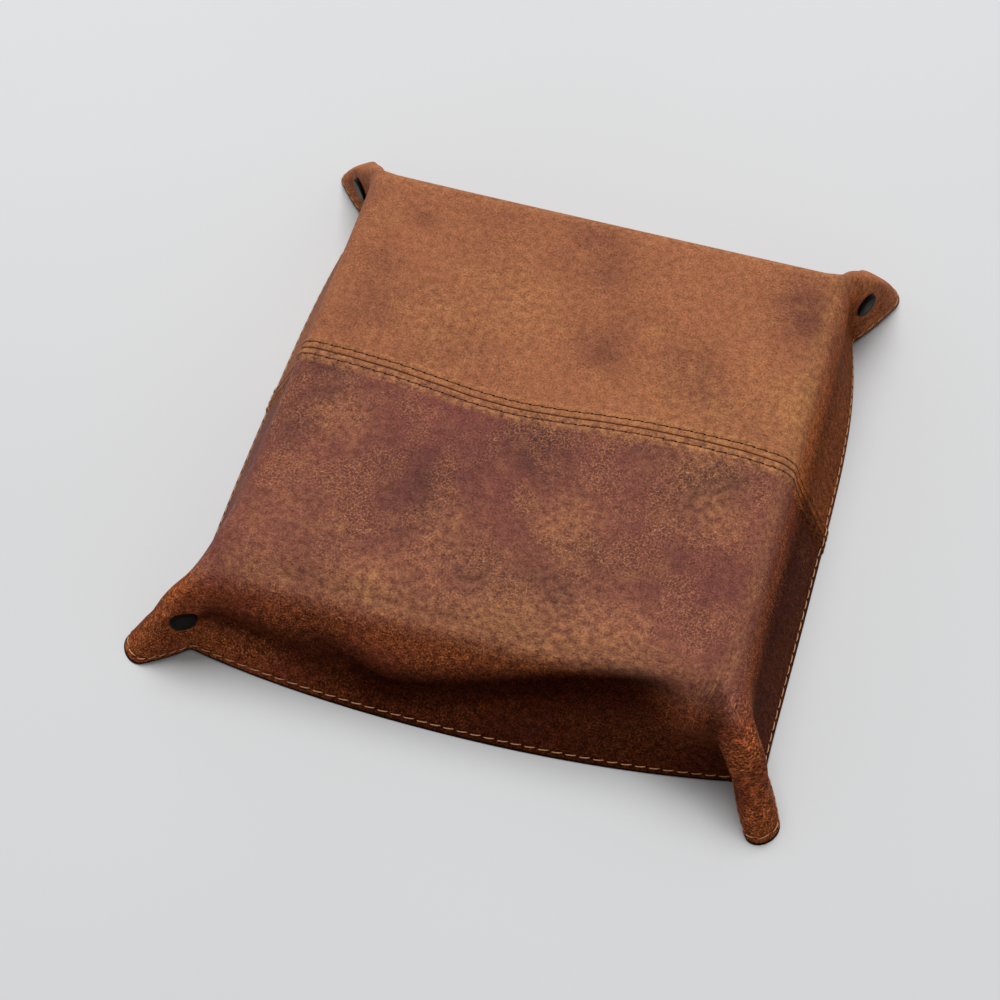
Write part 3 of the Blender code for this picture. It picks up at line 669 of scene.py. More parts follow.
def settings(name):
    return getattr(bpy.context.scene, name)


def wall_lines(fine):
    """Distances down a wall, as shares of it: even, closer by the rim's stitches, and closest at the edge."""
    if not fine:
        return np.linspace(0, 1, round(WALL / WALL_STEP / LINING_COARSER))
    band, edge = 1 - RIM_BAND / WALL, 1 - EDGE_ROUND / WALL
    even = np.linspace(0, band, round(band * WALL / WALL_STEP), endpoint=False)
    close = np.linspace(band, edge, round((RIM_BAND - EDGE_ROUND) / RIM_STEP), endpoint=False)
    turn = np.linspace(0, math.pi / 2, EDGE_STEPS)
    return np.concatenate([even, close, edge + (1 - edge) * np.sin(turn)])


def base_lines(fine, middle=None):
    """Lines across the base between its edges, set close where the middle one, a seam, is given."""
    if not fine:
        return np.linspace(-1, 1, round(BASE_SIDE / BASE_STEP / LINING_COARSER) + 1)[1:-1]
    count = round(BASE_SIDE / BASE_STEP)
    if middle is None:
        return np.linspace(-1, 1, count + 1)[1:-1]
    low, high = middle - SEAM_BAND / HALF, middle + SEAM_BAND / HALF
    before = np.linspace(-1, low, round(count * (low + 1) / 2), endpoint=False)[1:]
    after = np.linspace(high, 1, round(count * (1 - high) / 2) + 1)[1:-1]
    return np.concatenate([before, np.linspace(low, high, 2 * round(SEAM_BAND / SEAM_STEP) + 1), after])


@functools.cache
def sheet_grid(fine):
    """Natural and flat coordinates of every grid point, as arrays over the lines across and along."""
    wall = 1 + wall_lines(fine)
    x = np.concatenate([-wall[::-1], base_lines(fine), wall])
    y = np.concatenate([-wall[::-1], base_lines(fine, SEAM_Y / HALF), wall])
    X, Y = np.meshgrid(x, y, indexing="ij")
    return X, Y, *flat(X, Y)


def directions(points):
    """Outward unit normals of a grid of points: the product of its slopes across and along."""
    normals = np.cross(np.gradient(points, axis=0), np.gradient(points, axis=1))
    return normals / np.linalg.norm(normals, axis=-1, keepdims=True)


def hollow_line(X):
    """Share of the front wall's depth at which its hollow runs.

    It comes down from the left ear, then climbs to the base's edge beside the right ear.
    """
    return 0.62 + 0.16 * smooth((X + 1) / 0.75) - 0.62 * smooth((X + 0.25) / 0.95)


def form(X, Y):
    """How far the soft leather stands off the plain fold, outwards.

    Each wall is hollow along a line between base and rim, a bell curve across the line. The base's edges are
    rolled, the walls are full just below them, and an ear is full along its ridge. The base has long, low
    waves. A swelling is a bell curve about its place.
    """
    u, v = flat(X, Y)
    past_x, past_y = np.abs(X) - 1, np.abs(Y) - 1
    drop, less = np.maximum(past_x, past_y), np.minimum(past_x, past_y)
    y_side = past_y >= past_x
    front, right, left = (Y < 0) & y_side, (X > 0) & ~y_side, (X < 0) & ~y_side
    along = np.where(y_side, X, Y)
    ends = np.where(front & (along > 0), 0.88, 1.06)
    here = smooth((ends - np.abs(along)) / 0.25) * smooth(drop / 0.15) * smooth((WALL_FORMS_END - drop) / 0.15)
    line = np.where(front, hollow_line(X), HOLLOW_AT)
    depth = np.where(front, FRONT_HOLLOW, np.where(right, RIGHT_HOLLOW, LEFT_HOLLOW * left))
    hollow = depth * here * bell(drop - line, np.where(front, FRONT_HOLLOW_WIDTH, SIDE_HOLLOW_WIDTH))
    full = EDGE_FULLNESS * (front | right) * here * bell(drop - EDGE_FULL_AT, EDGE_FULL_WIDTH)
    to_left, to_back = smooth((0.35 - X) / 0.8), smooth((Y - 0.25) / 0.6)
    full += FRONT_FULLNESS * front * here * to_left * bell(drop - FRONT_FULL_AT, FRONT_FULL_WIDTH)
    full += BACK_FULLNESS * right * to_back * here * bell(drop - BACK_FULL_AT, BACK_FULL_WIDTH)
    edges = ((X > 0, past_x, Y, 0, RIGHT_ROLL), (Y < 0, past_y, X, FRONT_ROLL_TIGHTER, FRONT_ROLL))
    for side, past, other, tighter, (most, width) in edges:
        distance = np.where(past < 0, past * HALF, past * WALL)
        roll = most * (1 - tighter * smooth((other - 0.2) / 0.5))
        full -= roll * side * bell(distance, width) * smooth((1.0 - np.abs(other)) / 0.12)
    turn = np.clip(less, 0, None) / np.maximum(drop, 1e-9)
    down = np.maximum(drop, 0) * WALL
    fullness = np.zeros_like(drop)
    for name, corner in CORNERS.items():
        sx, sy = corner["sign"]
        fullness = np.where((X * sx > 0) & (Y * sy > 0), EAR_FULLNESS[name], fullness)
    before_rim = smooth((EAR_FORMS_END - drop) / 0.2)
    ridge = fullness * (less > 0) * smooth(drop / 0.25) * bell((1 - turn) * down, EAR_RIDGE_WIDTH)
    ridge = ridge * before_rim
    waves = np.sin(31 * X + 9 * Y + 1) * 0.3 + np.sin(2.9 * X - 4.1 * Y) + np.sin(5.3 * Y + 2.2 * X + 2)
    waves = waves * SWELL * smooth(np.clip(-drop, 0, 1) / 0.2)
    for x, y, radius, height in SWELLINGS:
        full += height * round_bell(u - x, v - y, radius) * before_rim
    return full + ridge + waves - hollow


def relief(X, Y):
    """Height of the leather's details over the plain fold.

    Two flat strips with soft sides flank the seam, whose line is a narrow groove. Each row of stitches draws
    the leather down in a shallow furrow, a bell curve across the row. The rim's outer edge turns down in a
    quarter circle.
    """
    from_seam = Y * HALF - SEAM_Y
    strip = smooth((STRIP_HALF + STRIP_EASE / 2 - np.abs(from_seam)) / STRIP_EASE)
    from_rim = WALL * (2 - np.maximum(np.abs(X), np.abs(Y)))
    rows = bell(np.abs(from_seam) - SEAM_STITCH, ROW_WIDTH) + bell(from_rim - RIM_STITCH, ROW_WIDTH)
    groove = bell(from_seam, SEAM_GROOVE)
    past = np.clip(EDGE_ROUND - from_rim, 0, EDGE_ROUND)
    turned_down = EDGE_ROUND - np.sqrt(EDGE_ROUND**2 - past**2)
    return STRIP_RISE * strip - ROW_DEPTH * rows - SEAM_GROOVE_DEPTH * groove - turned_down


def rounded_creases(points, X, Y, u, v):
    """The grid with its creases beside the front ears rounded.

    In each round a point moves towards the straight lines between its neighbours, both ways of the grid, by a
    share that is a bell curve about the place of the crease.
    """
    near = np.zeros(X.shape)
    for side in (-1, 1):
        for x, y in (CREASE_PLACE, CREASE_PLACE[::-1]):
            near += round_bell(u - side * x, v + y, CREASE_SPREAD)
    near[np.maximum(np.abs(X), np.abs(Y)) > CREASE_END] = 0
    share = np.clip(near, 0, 1)[1:-1, 1:-1, None] / 2
    steps = np.diff(X[:, 0]), np.diff(Y[0])
    first, second = (gaps[1:] / (gaps[1:] + gaps[:-1]) for gaps in steps)
    first, second = first[:, None, None], second[:, None]
    for _ in range(CREASE_ROUNDS):
        middle = points[:-2, 1:-1] * first + points[2:, 1:-1] * (1 - first)
        middle = middle + points[1:-1, :-2] * second + points[1:-1, 2:] * (1 - second)
        points = points.copy()
        points[1:-1, 1:-1] += (middle - 2 * points[1:-1, 1:-1]) * share
    return points


@functools.cache
def layer(depth):
    """World positions and outward normals of the grid on the layer this deep, as lists over its points."""
    X, Y, u, v = sheet_grid(depth < LINING_DEPTH)
    points = surface(u.ravel(), v.ravel(), depth).reshape(*X.shape, 3) - CENTRE
    points = points + directions(points) * form(X, Y)[..., None]
    points = rounded_creases(points, X, Y, u, v)
    if depth == 0:
        points = points + directions(points) * relief(X, Y)[..., None]
    normals = directions(points)
    points[..., 2] = np.maximum(points[..., 2], 0 if depth < LINING_DEPTH else LINING_LIFT)
    return points.reshape(-1, 3), normals.reshape(-1, 3)


def stitch_count(x, y):
    """Stitches from the left end of a seam row to each x, of which the row has a whole number."""
    u, v = flat(x, np.full_like(x, y))
    along = row_length(u, v)
    return along / along[-1] * round(along[-1] / settings("tray_thread").seam_pitch)


@functools.cache
def marks(fine):
    """What the leather reads over the grid.

    Masks: rubbed pale, waxed dark, painted shade, finely folded, painted edge, and past the base, which carries
    the walls' painted shade tint. Then the number of seam stitches counted from the left, and the distance behind
    the seam.
    """
    X, Y, u, v = sheet_grid(fine)
    past_x, past_y = np.abs(X) - 1, np.abs(Y) - 1
    across_edge = [np.where(past < 0, past * HALF, past * WALL) for past in (past_x, past_y)]
    drop, less = np.maximum(past_x, past_y), np.minimum(past_x, past_y)
    widths = 0.005, np.where(Y < 0, 0.010, 0.005)
    on_edge = [bell(a, width) * smooth((0.004 - b) / 0.008)
               for a, b, width in zip(across_edge, across_edge[::-1], widths)]
    ridge = bell((drop - less) * WALL, 0.005) * smooth(less / 0.1)
    from_seam = Y * HALF - SEAM_Y
    strip = smooth((STRIP_HALF + STRIP_EASE - np.abs(from_seam)) / STRIP_EASE)
    pale = np.where(X > 0, RIGHT_EDGE_RUBBED, LEFT_EDGE_RUBBED) * on_edge[0] + FRONT_EDGE_RUBBED * on_edge[1]
    pale = pale + np.where(X > 0, RIGHT_RIDGES_RUBBED, LEFT_RIDGES_RUBBED) * ridge
    pale = pale + strip * (STRIP_RUBBED + STRIP_FRONT_RUBBED * (from_seam < 0))
    dark = np.zeros_like(pale)
    for x, y, radius, strength in MARKS:
        soft = abs(strength) * round_bell(u - x, v - y, radius)
        if strength > 0:
            dark += soft
        else:
            pale += soft
    front, right = (Y < 0) & (past_y >= past_x), (X > 0) & (past_x > past_y)
    plain = ~(front | right)

    # Painted shade: the front wall is shaded below a line that climbs to the right, and at its left end only
    # along its hollow. The right wall is shaded most along its hollow and the plain walls a little. All of them
    # are shaded less on ridges and ears, and on the shoulder beside the front right ear
    middle = smooth((X + 0.85) / 0.55)
    start = np.clip(0.43 - 0.52 * X, 0.02, 0.56) - 0.26 * smooth((-0.25 - X) / 0.35)
    soft = 0.34 - 0.14 * smooth((X + 0.2) / 0.8)
    below = smooth((drop - start) / soft + 0.5)
    off_line = drop - hollow_line(X)
    shade = 0.90 * bell(off_line, np.where(off_line > 0, 0.09, 0.26)) * smooth((1.15 + X) / 0.15)
    on_right = np.where(Y * HALF > SEAM_Y, RIGHT_REAR_PAINTED_SHADE, RIGHT_FRONT_PAINTED_SHADE)
    painted_shade = np.where(front, FRONT_PAINTED_SHADE * middle + (1 - middle) * np.maximum(shade, 0.15),
                    np.where(right, on_right, PLAIN_PAINTED_SHADE))
    painted_shade = painted_shade + 0.25 * right * bell(drop - 0.42, 0.14)
    painted_shade = painted_shade * (1 - 0.20 * front * smooth((drop - start - 0.15) / 0.3))
    painted_shade = painted_shade * np.where(front, below, smooth((drop - 0.22) / 0.36))
    painted_shade = painted_shade * (1 - 0.7 * ridge) * (1 - 0.75 * smooth(less / 0.25))
    x, y, radius, _ = SWELLINGS[0]
    painted_shade = painted_shade * (1 - 0.7 * round_bell(u - x, v - y, radius))

    # The painted edge at the rim, the fine folds about the front right ear, and the walls' mask, which carries
    # their painted shade tint, stronger grain and weaker shine
    from_rim = WALL * (1 - drop)
    edge = smooth((EDGE_PAINT - from_rim) / 0.0004 + 0.5)
    corner = np.hypot(u - HALF, v + HALF)
    folds = bell(corner, FOLDS_RADIUS) + ridge * (X > 0) * (Y < 0) * smooth((0.75 - less) / 0.3)
    ear = smooth(less / 0.2)
    wall = smooth((drop * WALL - WALL_FROM) / WALL_OVER)
    wall = wall * (1 - PLAIN_WALLS_CALMER * plain * (1 - ear) - BACK_EARS_CALMER * ear * (Y > 0))
    masks = [np.clip(m, 0, 1).ravel() for m in (pale, dark, painted_shade, folds, edge, wall)]
    x = np.linspace(-SEAM_END, SEAM_END, PATH_SAMPLES)
    counted = [np.interp(X, x, stitch_count(x, (SEAM_Y + side * SEAM_STITCH) / HALF)) for side in (-1, 1)]
    return np.stack([*masks, np.where(from_seam < 0, *counted).ravel(), from_seam.ravel()], -1)


def corner_of(x, y):
    """Number of the corner whose flap holds each natural point, counted from 1, or 0.

    A flap is the ear's opening leaf and the end of the wall beside it, which bends as the leaf swings.
    """
    found = np.zeros(np.shape(x), int)
    for number, corner in enumerate(CORNERS.values(), 1):
        along, past = x * corner["sign"][0], y * corner["sign"][1]
        if corner["opens"] == "x":
            along, past = past, along
        found[(past > 1) & (along > FLAP_START) & (along < past)] = number
    return found


@functools.cache
def sheet_faces(fine):
    """Triangles over the whole grid, with each one's middle. Ears are cut along the ridge, from line to line."""
    X, Y, _, _ = sheet_grid(fine)
    rows, columns = X.shape
    i, j = (k.ravel() for k in np.mgrid[: rows - 1, : columns - 1])
    a, b = i * columns + j, (i + 1) * columns + j
    c, d = b + 1, a + 1
    x, y = X.ravel(), Y.ravel()
    rising = ((x[a] + x[c]) * (y[a] + y[c]) > 0)[:, None]
    first = np.where(rising, np.stack([a, b, c], -1), np.stack([a, b, d], -1))
    second = np.where(rising, np.stack([a, c, d], -1), np.stack([b, c, d], -1))
    faces = np.concatenate([first, second])
    return faces, x[faces].mean(1), y[faces].mean(1)


def mesh_object(name, points, faces, normals, uv, values, finish):
    """Mesh of triangles with a normal and a UV for each face corner, and mask values for each point."""
    mesh = bpy.data.meshes.new(name)
    mesh.vertices.add(len(points))
    mesh.vertices.foreach_set("co", points.ravel())
    mesh.loops.add(faces.size)
    mesh.loops.foreach_set("vertex_index", faces.ravel())
    mesh.polygons.add(len(faces))
    mesh.polygons.foreach_set("loop_start", np.arange(0, faces.size, 3))
    mesh.update(calc_edges=True)
    mesh.uv_layers.new(name="sheet").uv.foreach_set("vector", uv[faces].ravel().astype(np.float32))
    if values is not None:
        mesh.attributes.new("marks", "FLOAT_COLOR", "POINT").data.foreach_set("color", values[:, :4].ravel())
        for column, mask in ((4, "edge"), (5, "wall"), (6, "stitch"), (7, "seam")):
            mesh.attributes.new(mask, "FLOAT", "POINT").data.foreach_set("value", values[:, column].copy())
    mesh.normals_split_custom_set(normals.reshape(-1, 3))
    made = bpy.data.objects.new(name, mesh)
    bpy.context.scene.collection.objects.link(made)
    mesh.materials.append(finish)
    return made


def shell(name, faces, top, bottom, finish):
    """Closed layer of leather over the chosen triangles, between two depths.

    The outer face keeps its order, the inner one is reversed, and each outline edge gets two triangles. The
    faces' normals are the folded surface's own, so pieces that meet show no line between them.
    """
    fine = top < LINING_DEPTH
    _, _, u, v = sheet_grid(fine)
    used, index = np.unique(faces, return_inverse=True)
    index = index.reshape(-1, 3)
    count = len(used)
    (over, up), (under, down) = layer(top), layer(bottom)
    a = index.ravel()
    b = index[:, [1, 2, 0]].ravel()
    outline = ~np.isin(a * count + b, b * count + a)
    a, b = a[outline], b[outline]
    sides = np.concatenate([np.stack([b, a, a + count], -1), np.stack([b, a + count, b + count], -1)])
    points = np.concatenate([over[used], under[used]])
    normals = np.concatenate([up[used], -down[used]])
    skins = np.concatenate([index, index[:, ::-1] + count])
    corners = points[sides]
    square = np.cross(corners[:, 1] - corners[:, 0], corners[:, 2] - corners[:, 0])
    square /= np.maximum(np.linalg.norm(square, axis=-1, keepdims=True), 1e-12)
    loops = np.concatenate([normals[skins], np.repeat(square[:, None], 3, 1)])
    uv = np.tile(np.stack([u.ravel(), v.ravel()], -1)[used], (2, 1))
    values = np.tile(marks(fine)[used], (2, 1))
    return mesh_object(name, points, np.concatenate([skins, sides]), loops, uv, values, finish)


def stitches(name, path, finish, middle=1.0):
    """Row of separate stitches. Each is a tube along a flat arch that dips into the leather at both ends.

    path holds the points of each stitch in natural coordinates. Along a stitch, t runs from -1 to 1. Its
    height is a fourth-power arch. Its thickness is the share called middle at first, full toward the holes,
    where the two threads of a lockstitch cross, and it closes in a curve at the tips.
    """
    thread = settings("tray_thread")
    radius, sides, rings = thread.radius, STITCH_SIDES, STITCH_RINGS
    t = -np.cos(np.linspace(0, math.pi, rings))
    inside = t[1:-1]
    X, Y = path[..., 0].ravel(), path[..., 1].ravel()
    u, v = flat(X, Y)
    rise = STRIP_RISE * smooth((STRIP_HALF + STRIP_EASE / 2 - np.abs(Y * HALF - SEAM_Y)) / STRIP_EASE)
    at = surface(u, v, -rise)
    along_u = surface(u + SLOPE_STEP, v, -rise) - at
    along_v = surface(u, v + SLOPE_STEP, -rise) - at
    up = np.cross(along_u, along_v)
    up /= np.linalg.norm(up, axis=-1, keepdims=True)
    at = at - CENTRE + up * form(X, Y)[:, None]
    at, up = (a.reshape(len(path), rings, 3) for a in (at, up))
    run = at[:, -1] - at[:, 0]
    long = np.linalg.norm(run, axis=-1, keepdims=True)
    run /= long
    side = np.cross(up, run[:, None])
    side /= np.linalg.norm(side, axis=-1, keepdims=True)
    arch = radius * (1.15 - 1.9 * t**4) - ROW_DEPTH
    at = at + up * arch[:, None] + side * (t * math.tan(thread.slant))[:, None] * long[:, None] / 2
    at[..., 2] = np.maximum(at[..., 2], radius * 0.6)
    thick = radius * (1 - inside**6) ** 0.5 * (middle + (1 - middle) * smooth((np.abs(inside) - 0.45) / 0.4))
    angle = 2 * math.pi * np.arange(sides) / sides
    spread = side[:, 1:-1, None] * np.cos(angle)[:, None] + up[:, 1:-1, None] * np.sin(angle)[:, None] * 0.85
    tube = at[:, 1:-1, None] + spread * thick[:, None, None]
    each = np.concatenate([tube.reshape(len(path), -1, 3), at[:, :1], at[:, -1:]], 1)
    outward = np.concatenate([spread.reshape(len(path), -1, 3), -run[:, None], run[:, None]], 1)
    ring, step_round = (k.ravel() for k in np.mgrid[: rings - 3, :sides])
    a, b = ring * sides + step_round, ring * sides + (step_round + 1) % sides
    faces = [np.stack([a, b + sides, a + sides], -1), np.stack([a, b, b + sides], -1)]
    k, after = np.arange(sides), (np.arange(sides) + 1) % sides
    first, last = (rings - 2) * sides, (rings - 2) * sides + 1
    faces.append(np.stack([np.full(sides, first), after, k], -1))
    end = (rings - 3) * sides
    faces.append(np.stack([np.full(sides, last), end + k, end + after], -1))
    faces = np.concatenate(faces)
    per = each.shape[1]
    all_faces = (faces + per * np.arange(len(path))[:, None, None]).reshape(-1, 3)
    points = each.reshape(-1, 3)
    along = np.concatenate([np.repeat(inside, sides), [-1, 1]]) * long / 2
    around = np.tile(np.concatenate([np.tile(angle, rings - 2), [0, 0]]) * radius, (len(path), 1))
    uv = np.stack([along, around], -1).reshape(-1, 2)
    return mesh_object(name, points, all_faces, outward.reshape(-1, 3)[all_faces], uv, None, finish)


def evenly(x, y, pitch):
    """Stitches at an even pitch along a line of natural coordinates, as each stitch's points from end to end."""
    thread = settings("tray_thread")
    u, v = flat(x, y)
    along = row_length(u, v)
    count = round(along[-1] / pitch)
    pitch = along[-1] / count
    t = -np.cos(np.linspace(0, math.pi, STITCH_RINGS))
    at = pitch * (np.arange(count)[:, None] + 0.5 + thread.shown * t / 2)
    return np.stack([np.interp(at, along, x), np.interp(at, along, y)], -1)


def rounded(profile, radius):
    """Profile with its corners rounded. A corner becomes a parabola between points the radius away from it."""
    profile = np.array(profile, float)
    before, corner, after = profile[:-2], profile[1:-1], profile[2:]
    back, on = before - corner, after - corner
    back_long, on_long = (np.linalg.norm(a, axis=1, keepdims=True) for a in (back, on))
    start = corner + back * np.minimum(radius / back_long, 0.5)
    end = corner + on * np.minimum(radius / on_long, 0.5)
    t = np.linspace(0, 1, 5)[:, None]
    curves = start[:, None] * (1 - t) ** 2 + 2 * corner[:, None] * t * (1 - t) + end[:, None] * t**2
    return np.concatenate([profile[:1], curves.reshape(-1, 2), profile[-1:]])


def lathe(name, profile, corner, finish):
    """Body of revolution about a press stud's axis.

    The profile is points of (radius, distance outward) from pole to pole.
    """
    low, high = np.diff(profile, axis=0, prepend=profile[:1]), np.diff(profile, axis=0, append=profile[-1:])
    slope = low / np.maximum(np.linalg.norm(low, axis=1, keepdims=True), 1e-12)
    slope = slope + high / np.maximum(np.linalg.norm(high, axis=1, keepdims=True), 1e-12)
    centre, outward = snap_frame(corner)
    sideways = np.cross(outward, (0, 0, 1))
    sideways /= np.linalg.norm(sideways)
    upright = np.cross(outward, sideways)
    angle = 2 * math.pi * np.arange(TURN_STEPS) / TURN_STEPS
    spoke = np.cos(angle)[:, None] * sideways + np.sin(angle)[:, None] * upright
    ring, pole = profile[1:-1], profile[[0, -1]]
    points = centre + ring[:, :1, None] * spoke + ring[:, 1:, None] * outward
    points = np.concatenate([points.reshape(-1, 3), centre + pole[:, 1:] * outward])
    facing = -slope[1:-1, 1:, None] * spoke + slope[1:-1, :1, None] * outward
    ends = np.array([[1.0], [-1.0]]) * outward
    facing = np.concatenate([facing.reshape(-1, 3), ends])
    rows = len(ring)
    i, j = (k.ravel() for k in np.mgrid[: rows - 1, :TURN_STEPS])
    a, b = i * TURN_STEPS + j, i * TURN_STEPS + (j + 1) % TURN_STEPS
    k, after = np.arange(TURN_STEPS), (np.arange(TURN_STEPS) + 1) % TURN_STEPS
    top, bottom, last = rows * TURN_STEPS, rows * TURN_STEPS + 1, (rows - 1) * TURN_STEPS
    faces = np.concatenate([
        np.stack([a, a + TURN_STEPS, b + TURN_STEPS], -1),
        np.stack([a, b + TURN_STEPS, b], -1),
        np.stack([np.full(TURN_STEPS, top), k, after], -1),
        np.stack([np.full(TURN_STEPS, bottom), last + after, last + k], -1),
    ])
    uv = np.zeros((len(points), 2))
    return mesh_object(name, points, faces, facing[faces], uv, None, finish)


def add(tree, kind, values=(), **options):
    """Node of a material, with its options, and a value or another node's output for each input named."""
    made = tree.nodes.new(kind)
    for name, value in options.items():
        setattr(made, name, value)
    for key, value in dict(values).items():
        if isinstance(value, bpy.types.NodeSocket):
            tree.links.new(value, made.inputs[key])
        else:
            made.inputs[key].default_value = value
    return made


def new_material(name):
    made = bpy.data.materials.new(name)
    made.use_nodes = True
    return made, made.node_tree, made.node_tree.nodes["Principled BSDF"]


@functools.cache
def leather(side):
    """Waxed leather: soft cloudy mottling, a fine speckle, pale rubbed edges and a web of cracks in the wax.

    Where the leather bends or has been rubbed the wax breaks up and turns pale. Where it has gathered it is
    dark. The walls get painted shade: a darker, warmer tint, and a near-black shade colour down the walls and
    in their hollows. The web of cracks is closer on the front panel.
    """
    look = settings("tray_leather")
    front = side == "front"
    base, dark, pale = ((*c, 1) for c in (
        (look.front, look.front_dark, look.front_pale) if front else (look.rear, look.rear_dark, look.rear_pale)
    ))
    made, tree, shader = new_material(f"waxed pull-up leather, {side} panel")
    sheet = add(tree, "ShaderNodeUVMap", uv_map="sheet").outputs[0]
    masks = add(tree, "ShaderNodeAttribute", attribute_name="marks")
    rubbed, waxed, painted_shade = add(tree, "ShaderNodeSeparateColor", {0: masks.outputs["Color"]}).outputs
    folds = masks.outputs["Alpha"]
    edge = add(tree, "ShaderNodeAttribute", attribute_name="edge").outputs["Fac"]
    wall = add(tree, "ShaderNodeAttribute", attribute_name="wall").outputs["Fac"]

    # Clouds of 50 mm, blotches of 14 mm, flecks of 3 mm and a speckle of just under a millimetre
    noise = {}
    for key, size, detail, rough in (
        ("cloud", 0.050, 4, 0.55),
        ("blotch", 0.014, 5, 0.62),
        ("fleck", 0.003, 4, 0.6),
        ("speckle", 0.0008, 3, 0.7),
    ):
        values = {"Vector": sheet, "Scale": 1 / size, "Detail": detail, "Roughness": rough}
        noise[key] = add(tree, "ShaderNodeTexNoise", values).outputs["Fac"]

    # Dark where wax has gathered: the marks, broken up by blotches, and a little in the clouds
    gathered = add(tree, "ShaderNodeMapRange", {
        "Value": noise["blotch"], "From Min": 0.30, "From Max": 0.62, "To Min": 0.55, "To Max": 1.15}).outputs[0]
    gathered = add(tree, "ShaderNodeMath", {0: waxed, 1: gathered}, operation="MULTIPLY").outputs[0]
    clouds = add(tree, "ShaderNodeMapRange", {
        "Value": noise["cloud"], "From Min": 0.44, "From Max": 0.72, "To Min": 0.0, "To Max": 0.55}).outputs[0]
    gathered = add(tree, "ShaderNodeMath", {0: gathered, 1: clouds}, operation="ADD", use_clamp=True).outputs[0]
    tone = add(tree, "ShaderNodeMix", {0: gathered, 6: base, 7: dark}, data_type="RGBA").outputs[2]

    # Pale where it is rubbed, in flecks
    worn = add(tree, "ShaderNodeMapRange", {
        "Value": noise["fleck"], "From Min": 0.36, "From Max": 0.62, "To Min": 0.25, "To Max": 1.1}).outputs[0]
    worn = add(tree, "ShaderNodeMath", {0: worn, 1: rubbed}, operation="MULTIPLY").outputs[0]
    mottle = add(tree, "ShaderNodeMapRange", {
        "Value": noise["blotch"], "From Min": 0.46, "From Max": 0.30, "To Min": 0.0, "To Max": 0.3}).outputs[0]
    worn = add(tree, "ShaderNodeMath", {0: worn, 1: mottle}, operation="ADD", use_clamp=True).outputs[0]
    tone = add(tree, "ShaderNodeMix", {0: worn, 6: tone, 7: pale}, data_type="RGBA").outputs[2]

    # The web of cracks: borders between cells, whose places are shifted by noise
    shift = add(tree, "ShaderNodeTexNoise", {"Vector": sheet, "Scale": 1 / 0.004, "Detail": 3}).outputs["Color"]
    bent = add(tree, "ShaderNodeVectorMath", {0: shift, "Scale": 0.0022}, operation="SCALE").outputs[0]
    bent = add(tree, "ShaderNodeVectorMath", {0: sheet, 1: bent}, operation="ADD").outputs[0]
    web = add(tree, "ShaderNodeTexVoronoi", {"Vector": bent, "Scale": 1 / look.crackle},
              feature="DISTANCE_TO_EDGE").outputs["Distance"]
    web = add(tree, "ShaderNodeMapRange", {
        "Value": web, "From Min": 0.0, "From Max": 0.16, "To Min": 1.0, "To Max": 0.0}).outputs[0]
    patches = add(tree, "ShaderNodeTexNoise", {"Vector": sheet, "Scale": 1 / 0.022, "Detail": 4}).outputs["Fac"]
    patches = add(tree, "ShaderNodeMapRange", {
        "Value": patches, "From Min": 0.45 if front else 0.50, "From Max": 0.62,
        "To Min": 0.05, "To Max": 0.90 if front else 0.35}).outputs[0]
    web = add(tree, "ShaderNodeMath", {0: web, 1: patches}, operation="MULTIPLY").outputs[0]
    broken = add(tree, "ShaderNodeMapRange", {
        "Value": noise["speckle"], "From Min": 0.42, "From Max": 0.60, "To Min": 0.0, "To Max": 1.4}).outputs[0]
    web = add(tree, "ShaderNodeMath", {0: web, 1: broken}, operation="MULTIPLY", use_clamp=True).outputs[0]
    tone = add(tree, "ShaderNodeMix", {0: web, 6: tone, 7: pale}, data_type="RGBA").outputs[2]

    # Painted shade: walls and ears are tinted darker and warmer than the base
    tone = add(tree, "ShaderNodeMix", {0: wall, 6: tone, 7: (1.0, 0.71, 0.40, 1)},
               data_type="RGBA", blend_type="MULTIPLY").outputs[2]
    # Painted shade: the near-black shade colour down the walls and in their hollows
    tone = add(tree, "ShaderNodeMix", {0: painted_shade, 6: tone, 7: (*look.painted_shade, 1)}, data_type="RGBA").outputs[2]

    # A speckle with a third of the flecks in it lightens and darkens everything, more strongly down the walls
    grain = add(tree, "ShaderNodeMix", {0: 0.35, 2: noise["speckle"], 3: noise["fleck"]}).outputs[0]
    grain = add(tree, "ShaderNodeMapRange", {
        "Value": grain, "From Min": 0.36, "From Max": 0.64, "To Min": 0.54, "To Max": 1.46}).outputs[0]
    strength = add(tree, "ShaderNodeMath", {0: wall, 1: 1.6, 2: 1.0}, operation="MULTIPLY_ADD").outputs[0]
    grain = add(tree, "ShaderNodeMath", {0: grain, 1: strength}, operation="POWER").outputs[0]
    tone = add(tree, "ShaderNodeMix", {0: 1.0, 6: tone, 7: grain},
               data_type="RGBA", blend_type="MULTIPLY").outputs[2]
    tone = add(tree, "ShaderNodeMix", {0: edge, 6: tone, 7: (*look.edge, 1)}, data_type="RGBA").outputs[2]
